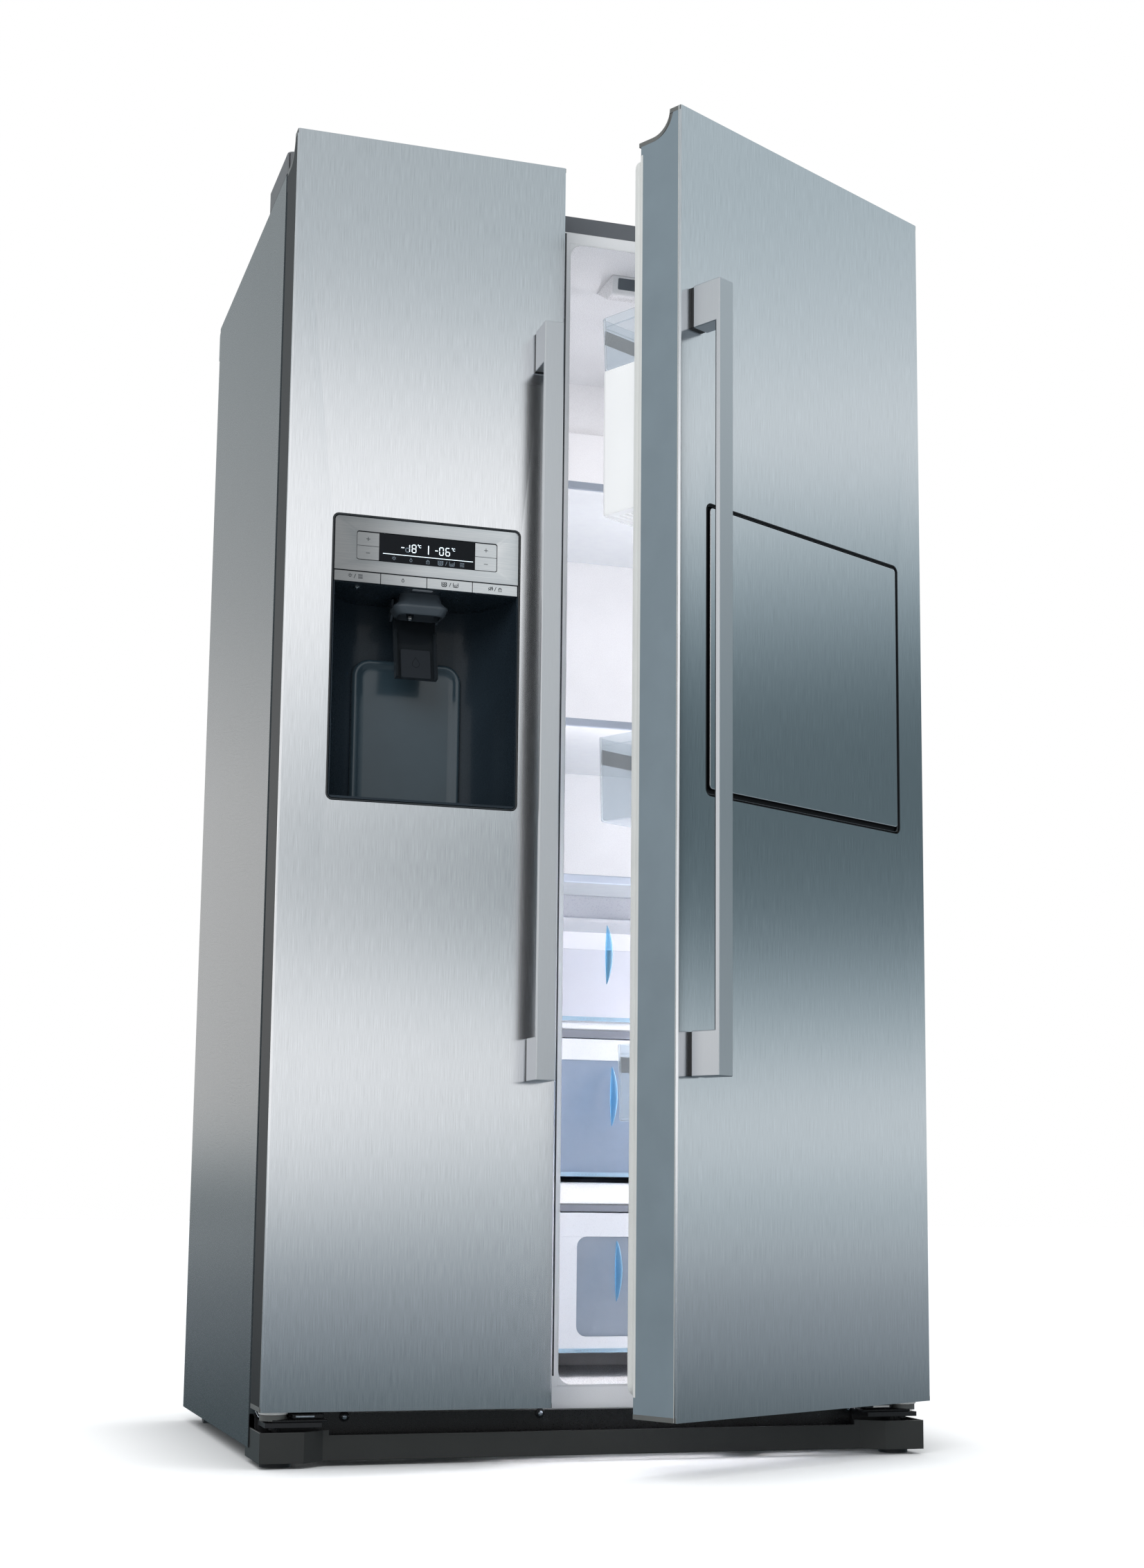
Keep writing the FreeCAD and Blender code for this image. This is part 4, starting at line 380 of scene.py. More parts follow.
# ---- shapes: lists of (points, faces) ----
def slab(first, second):
    """Box between two opposite corners."""
    xs, ys, zs = (sorted(pair) for pair in zip(first, second))
    return [([(x, y, z) for z in zs for y in ys for x in xs],
             ((0, 1, 3, 2), (4, 5, 7, 6), (0, 1, 5, 4), (2, 3, 7, 6), (0, 2, 6, 4), (1, 3, 7, 5)))]


def joined(rows, loop=False, ring=False):
    """Faces between rows of equal count; loop closes each row, ring closes the last row to the first."""
    count = len(rows[0])
    starts = [count * row for row in range(len(rows))]
    faces = [(a + i, a + (i + 1) % count, b + (i + 1) % count, b + i)
             for a, b in zip(starts, starts[1:] + (starts[:1] if ring else []))
             for i in range(count if loop else count - 1)]
    return [([point for row in rows for point in row], faces)]


def loft(loops, closed=False):
    """Skin through closed outlines, capped at both ends unless it is closed into a ring."""
    shape = joined(loops, True, closed)
    if not closed:
        total, count = len(shape[0][0]), len(loops[0])
        shape[0][1].extend((range(count), range(total - 1, total - count - 1, -1)))
    return shape


def along_x(points, start, end):
    """Side view in Y and Z drawn out across."""
    return loft([[(x, y, z) for y, z in points] for x in (start, end)])


def plate_with_hole(outer, inner, y):
    """A flat upright plate between an outer and an inner outline."""
    bm = bmesh.new()
    edges = []
    for outline in (outer, inner):
        verts = [bm.verts.new(Vector(point) * MM) for point in upright(outline, y)]
        edges += [bm.edges.new(pair) for pair in zip(verts, verts[1:] + verts[:1])]
    bmesh.ops.triangle_fill(bm, edges=edges, use_beauty=True)
    bm.verts.index_update()
    return [([v.co / MM for v in bm.verts], [[v.index for v in face.verts] for face in bm.faces])]


def tray(low, high, taper):
    """Open-topped box with rounded corners, a rolled rim and walls that lean in by the taper."""
    corner, wall = 9, 2.4
    top, bottom = high[2], low[2]
    return loft([level(rounded((low[0] + inset, low[1] + inset), (high[0] - inset, high[1] - inset),
                               max(corner - inset, 1.5)), height)
                 for inset, height in ((taper + 2, bottom), (taper, bottom + 2), (0.0, top - 1), (0.4, top),
                                       (wall, top), (wall + 0.4, top - 1),
                                       (wall + taper, bottom + wall + 2),
                                       (wall + taper + 2, bottom + wall))])


def lathe(centre, axis, profile, steps=32):
    """Turned shape about axis 0, 1 or 2; profile holds (radius, distance along the axis)."""
    loops = []
    for radius, along in profile:
        ring = []
        for aside, up in oval(0, 0, radius, radius, steps):
            point = list(centre)
            point[axis] += along
            point[(axis + 1) % 3] += aside
            point[(axis + 2) % 3] += up
            ring.append(point)
        loops.append(ring)
    return loft(loops)


def stroke(points, width, y, thick=0.08):
    """A raised line of even width through points in X and Z."""
    sides = ([], [])
    for i, (x, z) in enumerate(points):
        before, after = points[max(i - 1, 0)], points[min(i + 1, len(points) - 1)]
        dx, dz = after[0] - before[0], after[1] - before[1]
        size = math.hypot(dx, dz) or 1.0
        nx, nz = -dz / size * width / 2, dx / size * width / 2
        sides[0].append((x + nx, z + nz))
        sides[1].append((x - nx, z - nz))
    return joined([upright(sides[0], y), upright(sides[0], y - thick), upright(sides[1], y - thick),
                   upright(sides[1], y)])


def placed(name, bm):
    """Puts a mesh into the scene."""
    mesh = bpy.data.meshes.new(name)
    bm.to_mesh(mesh)
    bm.free()
    made = bpy.data.objects.new(name, mesh)
    bpy.context.scene.collection.objects.link(made)
    return made


def piece(name, shapes, material, body, place=None, replaces=(), bevel=0.0, segments=2, sharp=35.0,
          sheet=0.0):
    """Turns shapes into a finished piece that rides on a body; sheet thickens an open surface."""
    bm = bmesh.new()
    for points, faces in shapes:
        verts = [bm.verts.new(Vector(point) * MM) for point in points]
        for face in faces:
            bm.faces.new([verts[i] for i in face])
    bmesh.ops.remove_doubles(bm, verts=bm.verts, dist=1e-6)
    bmesh.ops.recalc_face_normals(bm, faces=bm.faces)
    made = placed(name, bm)
    mesh = made.data
    layer = mesh.uv_layers.new(name="Grain")
    for loop in mesh.loops:
        where = mesh.vertices[loop.vertex_index].co
        layer.data[loop.index].uv = (where.x + where.y, where.z)
    mesh.materials.append(material)
    mesh.shade_smooth()
    mesh.set_sharp_from_angle(angle=math.radians(sharp))
    made.matrix_world = place or PLACES.get(body, CABINET)
    if sheet:
        thick = made.modifiers.new("Sheet", "SOLIDIFY")
        thick.thickness = sheet * MM
        thick.offset = -1.0
    if bevel:
        soften = made.modifiers.new("Soft edges", "BEVEL")
        soften.width = bevel * MM
        soften.segments = segments
        soften.limit_method = "ANGLE"
        soften.angle_limit = math.radians(30)
    made.modifiers.new("Even faces", "WEIGHTED_NORMAL").keep_sharp = True
    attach(made, body)
    if replaces:
        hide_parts(*replaces)


def turned(point, angle):
    """The cabinet's place, turned about a level line across it."""
    pivot = Matrix.Translation(Vector(point) * MM)
    return CABINET @ pivot @ Matrix.Rotation(angle, 4, "X") @ pivot.inverted()


# ---- stage ----
# brightness of the mirrored surroundings by degrees over the horizon
SKY_BRIGHT = ((-5.0, 0.87), (-0.6, 0.85), (0.5, 1.14), (1.7, 1.62), (2.9, 2.10), (4.1, 2.10), (5.2, 1.06),
              (6.4, 1.01), (7.6, 0.88), (8.7, 0.71), (9.9, 0.99), (11.0, 1.01), (12.1, 1.08), (13.3, 1.09),
              (14.4, 1.14), (16.0, 1.92), (17.6, 1.72), (18.7, 1.13), (19.7, 1.08), (20.8, 0.91),
              (21.8, 0.76), (22.8, 0.64), (23.8, 0.60), (26.0, 0.56), (36.0, 0.63))
SKY_FRONT = ((-5.0, 0.25), (-1.8, 0.31), (-0.6, 0.37), (0.5, 0.54), (1.7, 0.82), (2.9, 0.96), (4.1, 0.92),
             (5.2, 0.72), (6.4, 0.42), (7.6, 0.23), (8.7, 0.15), (9.9, 0.31), (11.0, 0.43), (12.1, 0.61),
             (13.3, 0.81), (14.4, 1.08), (16.0, 1.17), (17.6, 1.07), (18.7, 0.94), (19.7, 0.79),
             (20.8, 0.68), (22.8, 0.55), (26.0, 0.52), (36.0, 0.61))
SKY_SIDE = ((-5.0, 0.09), (-1.8, 0.22), (-0.6, 0.43), (0.5, 0.64), (1.7, 0.78), (2.8, 0.73), (4.0, 0.57),
            (5.1, 0.43), (6.2, 0.29), (7.4, 0.19), (8.5, 0.16), (9.6, 0.14), (10.7, 0.15), (11.9, 0.15),
            (13.0, 0.19), (14.0, 0.27), (15.1, 0.37), (16.2, 0.51), (17.2, 0.62), (18.3, 0.76),
            (19.5, 0.80), (20.6, 0.73), (23.3, 0.62), (26.0, 0.57), (36.0, 0.68))
SKY_BACK = ((-5.0, 0.0), (-2.0, 0.05), (0.5, 0.60), (3.0, 1.75), (5.5, 2.0), (9.0, 1.30), (14.0, 0.88),
            (20.0, 0.70), (30.0, 0.60))
# the brightest mirrored light; the ramps hold shares of it, because their interpolation stops at one
SKY_PEAK = 1.15
# colour of the mirrored floor from near to far
FLOOR_MIRROR = ((0.0, (0.105, 0.137, 0.152, 1)), (0.16, (0.24, 0.28, 0.31, 1)),
                (1.0, (0.46, 0.51, 0.54, 1)))


def area_light(name, spot, aim, size, energy):
    """A soft rectangular light that leaves no mirror image."""
    data = bpy.data.lights.new(name, "AREA")
    data.shape = "RECTANGLE"
    data.size, data.size_y = size
    data.energy = energy
    made = bpy.data.objects.new(name, data)
    bpy.context.scene.collection.objects.link(made)
    made.location = spot
    made.rotation_euler = (Vector(aim) - Vector(spot)).to_track_quat("-Z", "Y").to_euler()
    made.visible_glossy = False
    return made


class STUDIO_OT_stage(bpy.types.Operator):
    """Build the floor, the soft lights, the sky and the camera"""
    bl_idname = "fridge.stage"
    bl_label = "Stage"

    def execute(self, context):
        scene, settings = context.scene, context.scene.fridge_studio
        scene.view_settings.view_transform = "Standard"
        self.make_camera(scene, settings)
        self.make_floor(settings)
        self.make_sky(scene, settings)
        area_light("key_light", (-1.9, -3.2, 2.9), (0.0, 0.0, 0.9), (2.6, 1.8), settings.key_energy)
        area_light("fill_light", (3.1, -1.9, 2.2), (0.1, 0.0, 0.9), (1.8, 2.2), settings.fill_energy)
        return {"FINISHED"}

    def make_camera(self, scene, settings):
        """Camera low in front of the left door, with upright lines kept upright by its shift."""
        turn = (Matrix.Rotation(settings.camera_yaw, 4, "Z")
                @ Matrix.Rotation(math.pi / 2 + settings.camera_pitch, 4, "X")
                @ Matrix.Rotation(settings.camera_roll, 4, "Z"))
        data = bpy.data.cameras.new("camera")
        data.lens = settings.lens
        data.sensor_width = 36.0
        data.shift_x = 0.003
        data.shift_y = 0.0532
        made = bpy.data.objects.new("camera", data)
        scene.collection.objects.link(made)
        spot = Vector((settings.camera_side, settings.camera_back + FACE_Y, settings.camera_height))
        made.matrix_world = Matrix.Translation(spot) @ turn
        scene.camera = made

    def make_floor(self, settings):
        """Pale floor that the steel mirrors in its own darker tones."""
        bm = bmesh.new()
        bmesh.ops.create_grid(bm, x_segments=8, y_segments=8, size=30.0)
        floor = placed("floor", bm)
        made, tree, shader = blank("pale_floor")
        slow = noise(tree, 3.0)
        fill(tree, shader, {"Base Color": two_tone(tree, slow, settings.floor_colour, 0.01),
                            "Roughness": spread(tree, slow, 0.75, 0.85), "Specular IOR Level": 0.1})
        reach = node(tree, "VectorMath", {0: node(tree, "TexCoord", out="Object")}, "Value",
                     operation="LENGTH")
        near = node(tree, "MapRange", {"Value": reach, "From Min": 0.6, "From Max": 14.0})
        mirror = node(tree, "Emission", {"Color": ramp(tree, near, FLOOR_MIRROR)})
        # painted shadow: ambient occlusion fades the floor's own glow near the cabinet, darkening the floor
        # round its foot
        feet = node(tree, "AmbientOcclusion", {"Distance": 0.2}, "AO", samples=8)
        lift = maths(tree, "MULTIPLY", maths(tree, "POWER", feet, 2.0), settings.floor_lift)
        white = node(tree, "AddShader", {0: shader.outputs["BSDF"],
                                         1: node(tree, "Emission", {"Strength": lift})})
        shade = node(tree, "BsdfDiffuse", {"Color": (0.60, 0.61, 0.62, 1)})
        direct, glossy = ray_kinds(tree)
        surface = mix(tree, glossy, mix(tree, direct, shade, white), mirror)
        fill(tree, tree.nodes["Material Output"], {"Surface": surface})
        floor.data.materials.append(made)

    def sky_ramp(self, tree, height, stops, tint):
        """Brightness by height over the horizon, bluer where it is darker."""
        colours = []
        for degrees, bright in stops:
            blue, share = tint * max(0.0, 1.0 - bright), bright / SKY_PEAK
            colours.append(((math.sin(math.radians(degrees)) + 0.1) / 0.7,
                            (share * (1 - blue), share * (1 - blue * 0.2), share * (1 + blue * 0.15), 1)))
        return ramp(tree, height, colours, "CARDINAL")

    def blend(self, tree, source, start, end, first, second):
        """Goes from the first colour to the second while the source goes from start to end."""
        share = node(tree, "MapRange", {"Value": source, "From Min": start, "From Max": end},
                     interpolation_type="SMOOTHSTEP")
        return node(tree, "Mix", {"Factor": share, "A": first, "B": second}, "Result", data_type="RGBA")

    def make_sky(self, scene, settings):
        """Even light from all round, and the banded surroundings that only mirrors show."""
        world = bpy.data.worlds.new("studio")
        world.use_nodes = True
        scene.world = world
        tree = world.node_tree
        place = node(tree, "TexCoord", out="Generated")
        parts = node(tree, "SeparateXYZ", {"Vector": place}).node.outputs
        height = node(tree, "MapRange", {"Value": parts["Z"], "From Min": -0.1, "From Max": 0.6})
        bright, front, side, back = [self.sky_ramp(tree, height, stops, tint) for stops, tint in (
            (SKY_BRIGHT, 0.20), (SKY_FRONT, 0.35), (SKY_SIDE, 0.40), (SKY_BACK, 0.30))]
        tone = self.blend(tree, parts["X"], 0.10, 0.32, bright, front)
        tone = self.blend(tree, parts["Y"], -0.1, 0.5, tone, back)
        tone = self.blend(tree, parts["X"], 0.30, 0.85, tone, side)
        mirrored = node(tree, "Background", {"Color": tone, "Strength": SKY_PEAK})
        even = node(tree, "Background", {"Color": (0.95, 0.98, 1.0, 1), "Strength": settings.sky_level})
        white = node(tree, "Background", {"Color": (1, 1, 1, 1)})
        direct, glossy = ray_kinds(tree)
        surface = mix(tree, direct, mix(tree, glossy, even, mirrored), white)
        fill(tree, tree.nodes["World Output"], {"Surface": surface})


# ---- door faces ----
FREEZER_X = (-455, -77)
FRIDGE_X = (-62, 455)
DOOR_Z = (70, 1760)
DOOR_BACK = 71.5
LIP = 20
SCOOP = 30
DISPENSER = (-394, -135, 845, 1231)
HOME_BAR = (-11, 400, 845, 1231)


def scoop_outline(front, drop):
    """Side view of a door as (y, z): flat lip on top, then a hollow quarter round down to the back."""
    bottom, radius = DOOR_Z[0] + drop, SCOOP + drop
    start = math.degrees(math.acos(-math.sqrt(radius ** 2 - drop ** 2) / radius))
    return ([(front, bottom), (front, DOOR_Z[1] - drop)]
            + arc(LIP + SCOOP, DOOR_Z[1], radius, 360 - start, 270, 14)
            + [(DOOR_BACK, DOOR_Z[1] - radius), (DOOR_BACK, bottom)])


class DOORS_OT_faces(bpy.types.Operator):
    """Fold the steel faces and the coated sides of both doors"""
    bl_idname = "fridge.door_faces"
    bl_label = "Door faces"

    def execute(self, context):
        settings = context.scene.fridge_doors
        self.wrap, self.sheet = settings.wrap / MM, settings.sheet / MM
        steel = brushed("brushed_door_steel", settings.steel, 0.18, lean=0.78, streak=0.14, bump=0.02)
        edge = moulded("coated_door_edge", settings.edge, 0.38, 1400, 0.05, 0.35, 0)
        # painted shade: the hinge sides wear a darkened copy of the coated side
        hinge_side_painted_shade = moulded("coated_edge_painted_shade", settings.hinge_side_painted_shade, 0.5, 1400, 0.05, 0.3, 0,
                             specular=0.2)
        flange = moulded("liner_flange", settings.gasket, 0.45, 500, 0.03, 0.1)
        # partly painted highlight: light strips at the sheet's cut edges stand in for the glint of the
        # rolled edge
        trim = moulded("sheet_edge_painted_highlight", settings.bright, 0.3, 900, 0.04, 0.05)
        for name, span, window, corner in (("freezer", FREEZER_X, DISPENSER, 9),
                                           ("fridge", FRIDGE_X, HOME_BAR, 10)):
            door = name + "_door"
            self.make_face(settings.edge_radius / MM, door, span, window, corner, steel)
            hinged, free = span if name == "freezer" else span[::-1]
            inward = 1 if free == span[0] else -1
            outline = scoop_outline(self.wrap, settings.cap_band / MM)
            for part, x, sign, finish in (("_free_side", free, inward, edge),
                                          ("_hinge_side", hinged, -inward, hinge_side_painted_shade)):
                piece(door + part, along_x(outline, x + sign * 0.05, x + sign * self.sheet), finish, door)
            piece(door + "_liner_flange", slab((free, 68, 96), (free + inward * 1.1, 72, 1712)), flange,
                  door)
            self.make_edge_highlights(door, span, trim)
        return {"FINISHED"}

    def make_face(self, r, door, span, window, corner, steel):
        """Face with its opening and the two folds round its sides."""
        left, right = span
        inner = rounded((window[0], window[2]), (window[1], window[3]), corner, 8)
        shapes = plate_with_hole([(left + r, DOOR_Z[0]), (right - r, DOOR_Z[0]), (right - r, DOOR_Z[1]),
                                  (left + r, DOOR_Z[1])], inner, 0.0)
        fold = [(r - x, r - y) for y, x in arc(0, 0, r, 0, 90, 6)] + [(0.0, self.wrap)]
        for x, sign in ((left, 1), (right, -1)):
            shapes += joined([[(x + sign * dx, dy, z) for dx, dy in fold] for z in DOOR_Z])
        piece(door + "_face", shapes, steel, door, replaces=(door + "_skin",),
              sheet=self.sheet)

    def make_edge_highlights(self, door, span, finish):
        """Light strips at the cut edges of the face's sheet along both sides and along the foot: partly the
        sheet's cut edge, partly a painted highlight of the rolled edge.
        """
        shapes = []
        for x, sign in ((span[0], 1), (span[1], -1)):
            shapes += slab((x, self.wrap - 0.2, DOOR_Z[0] + 0.4),
                           (x + sign * 1.2, self.wrap + 0.9, DOOR_Z[1] - 0.4))
        shapes += slab((span[0] + 3, 0.3, DOOR_Z[0]), (span[1] - 3, 2.2, DOOR_Z[0] + 1.1))
        piece(door + "_sheet_edge_highlights", shapes, finish, door)


class DOORS_OT_seals(bpy.types.Operator):
    """Finish the end caps and mould the ribbed door seals"""
    bl_idname = "fridge.door_seals"
    bl_label = "Door seals"

    def execute(self, context):
        settings = context.scene.fridge_doors
        dress("freezer_door_caps fridge_door_caps",
              moulded("moulded_end_cap", settings.cap, 0.42, 1100, 0.06, 0.25, 0.8))
        seal = moulded("soft_seal", settings.gasket, 0.5, 500, 0.03, 0.1)
        # closed tube round the door's back: foot, bellows and magnet pocket
        section = ((0.0, 0.0), (0.0, 2.2), (2.0, 3.4), (2.0, 4.6), (0.4, 5.8), (0.0, 7.0), (0.0, 11.2),
                   (0.8, 11.7), (5.5, 11.7), (7.0, 11.3), (8.5, 11.7), (13.2, 11.7), (14.0, 11.2),
                   (14.0, 7.6), (12.6, 6.4), (12.6, 5.2), (14.0, 4.0), (14.0, 0.0))
        for name in ("freezer", "fridge"):
            low, high = shut_box(name + "_door_gasket")
            stretch = (high.y - low.y) / 11.7
            loops = shrinking((low.x, high.x, low.z, high.z), 16,
                              [(inset, low.y + depth * stretch) for inset, depth in section])
            piece(name + "_seal", loft(loops, closed=True), seal, name + "_door",
                  replaces=(name + "_door_gasket",))
        dress("freezer_door_liner fridge_door_liner",
              moulded("door_inner_panel", context.scene.fridge_interior.white, 0.32, 700, 0.02, 0.08, 1.0))
        dress("freezer_door_core fridge_door_core",
              moulded("door_foam", (0.72, 0.66, 0.50), 0.9, 180, 0.1, 0.8))
        return {"FINISHED"}


# ---- handles ----
class HANDLES_OT_bars(bpy.types.Operator):
    """Machine both bar handles with their square posts"""
    bl_idname = "fridge.handles"
    bl_label = "Handles"

    def execute(self, context):
        settings = context.scene.fridge_handles
        # partly painted shade: the black feet and back strip also stand in for the shadow and reflection of
        # the posts on the door
        black = moulded("handle_foot_painted_shade", (0.012, 0.012, 0.013), 0.4, 900, 0.08, 0.1)
        satin = brushed("satin_aluminium", settings.metal, 0.34, lean=0.35, streak=0.03, bump=0.03)
        for door in ("freezer", "fridge"):
            self.make_bar(door + "_handle", door + "_door", settings.chamfer / MM, satin, black)
        return {"FINISHED"}

    def make_bar(self, name, body, chamfer, satin, black):
        """Bar with its posts, the black feet under them and the black strip down the bar's back; feet and
        strip are partly mounting parts, partly painted shade of the posts and the bar on the door.
        """
        bar, post, foot = 6.5, 57, 5
        low, high = shut_box(name)
        front, wall, inside = low.y, high.y - foot, low.y + bar
        outline = [(front, low.z), (front, high.z), (wall, high.z), (wall, high.z - post),
                   (inside, high.z - post), (inside, low.z + post), (wall, low.z + post), (wall, low.z)]
        piece(name + "_bar", along_x(outline, low.x, high.x), satin, body,
              replaces=(name,), bevel=chamfer)
        feet = []
        for base in (low.z, high.z - post):
            feet += slab((low.x + 1.2, wall, base + 1.2), (high.x - 1.2, high.y, base + post - 1.2))
        strip = slab((low.x + 0.9, inside, low.z + post), (high.x - 0.9, inside + 1.2, high.z - post))
        for part, shapes in (("_feet", feet), ("_back_strip", strip)):
            piece(name + part, shapes, black, body, bevel=0.4)


# ---- whole appliance ----
class CASING_OT_shell(bpy.types.Operator):
    """Finish the coated casing, the top, the back and the parts of the machine room"""
    bl_idname = "fridge.casing"
    bl_label = "Casing"

    def execute(self, context):
        base = context.scene.fridge_base
        for nodes, name, tint, rough, grain, depth, bump, edge, metal in (
                ("side_panels", "casing_paint", base.casing, 0.25, 620, 0.04, 0.30, 1.0, 0),
                ("top_panel", "top_paint", base.top, 0.45, 900, 0.05, 0.3, 1.0, 0),
                ("back_panel", "zinc_back", (0.42, 0.43, 0.44), 0.4, 300, 0.08, 0.1, 0.6, 0.8),
                ("hinge_covers", "hinge_cover_plastic", (0.16, 0.165, 0.175), 0.5,
                 1200, 0.05, 0.35, 1.2, 0),
                ("hinge_brackets front_foot_left front_foot_right", "hinge_steel_black",
                 (0.03, 0.03, 0.033), 0.32,
                 800, 0.08, 0.12, 0.8, 0.4),
                ("base_pan", "base_black", (0.012, 0.012, 0.013), 0.3, 900, 0.08, 0.1, 0.8, 0),
                ("plinth", "plinth_plastic", base.plinth, 0.34, 1200, 0.06, 0.25, 1.5, 0),
                ("rear_rollers", "nylon", (0.07, 0.07, 0.075), 0.5, 700, 0.05, 0.1, 0.8, 0),
                ("compressor", "compressor_enamel", (0.012, 0.012, 0.014), 0.22, 500, 0.1, 0.1, 0.6, 0),
                ("condenser evaporator", "coil_metal", (0.55, 0.56, 0.57), 0.35, 300, 0.08, 0.1, 0, 0.9),
                ("condenser_fan evaporator_fan", "fan_plastic", (0.05, 0.05, 0.055), 0.4, 700, 0.05, 0.1,
                 0.6, 0),
                ("drip_tray", "tray_plastic", (0.06, 0.06, 0.065), 0.45, 700, 0.05, 0.1, 0.6, 0),
                ("machine_cover", "cover_board", (0.11, 0.11, 0.115), 0.6, 500, 0.08, 0.2, 0.6, 0),
                ("water_valve", "valve_plastic", (0.55, 0.58, 0.60), 0.4, 600, 0.05, 0.1, 0.5, 0),
                ("insulation", "foam", (0.70, 0.64, 0.48), 0.9, 180, 0.1, 0.8, 0.6, 0)):
            dress(nodes, moulded(name, tint, rough, grain, depth, bump, edge, metal))
        return {"FINISHED"}


class BASE_OT_details(bpy.types.Operator):
    """Fit the hinge bushes, hinge arms, spring wires and screws under the doors"""
    bl_idname = "fridge.base_details"
    bl_label = "Base details"

    def execute(self, context):
        nylon = moulded("white_bush", context.scene.fridge_base.bush, 0.35, 700, 0.03, 0.08)
        black = moulded("hinge_arm_black", (0.018, 0.018, 0.02), 0.28, 900, 0.08, 0.1, metal=0.3)
        silver = moulded("zinc_screw", (0.62, 0.66, 0.72), 0.22, 500, 0.08, 0.06, metal=1.0)
        for side, name in ((-1, "left"), (1, "right")):
            x = side * 433
            bush = lathe((x, 32, 0), 2, ((7, 69.4), (17.5, 69.4), (18.6, 68.6), (18.6, 66.2), (17.2, 65.6),
                                         (14.5, 65.4), (13.6, 60.2), (7, 60.0)))
            piece(name + "_hinge_bush", bush, nylon, "cabinet", sharp=50)
            piece(name + "_hinge_arm", slab((x + side * 4, 14.5, 56), (x - side * 66, 52, 60))
                  + slab((x - side * 22, 17, 60), (x - side * 62, 50, 67)), black, "cabinet",
                  bevel=1.6, segments=3)
            piece(name + "_hinge_slot", slab((x - side * 26, 16.4, 62), (x - side * 50, 17.4, 64.6)),
                  nylon if side > 0 else silver, "cabinet", bevel=0.4)
            wire = [upright(oval(side * x, z, 1.0, 1.0, 8), y) for x, y, z in
                    ((448, 70, 66), (446, 60, 60), (440, 56, 57.5), (430, 57, 58))]
            piece(name + "_spring_wire", loft(wire), silver, "cabinet", sharp=60)
        front = shut_box("base_pan")[0].y
        for screw, x in enumerate((-334, -72, 370)):
            for part, finish, profile in (
                    ("washer", black, ((6.6, 0.6), (6.6, -0.8), (5.6, -1.8), (3.9, -2.2), (3.4, -1.6))),
                    ("head", silver, ((3.6, -1.0), (3.5, -2.6), (2.6, -3.6), (1.2, -3.9), (0.6, -3.0)))):
                piece("screw_%s_%d" % (part, screw + 1), lathe((x, front, 57.5), 1, profile), finish,
                      "cabinet", sharp=50)
        return {"FINISHED"}


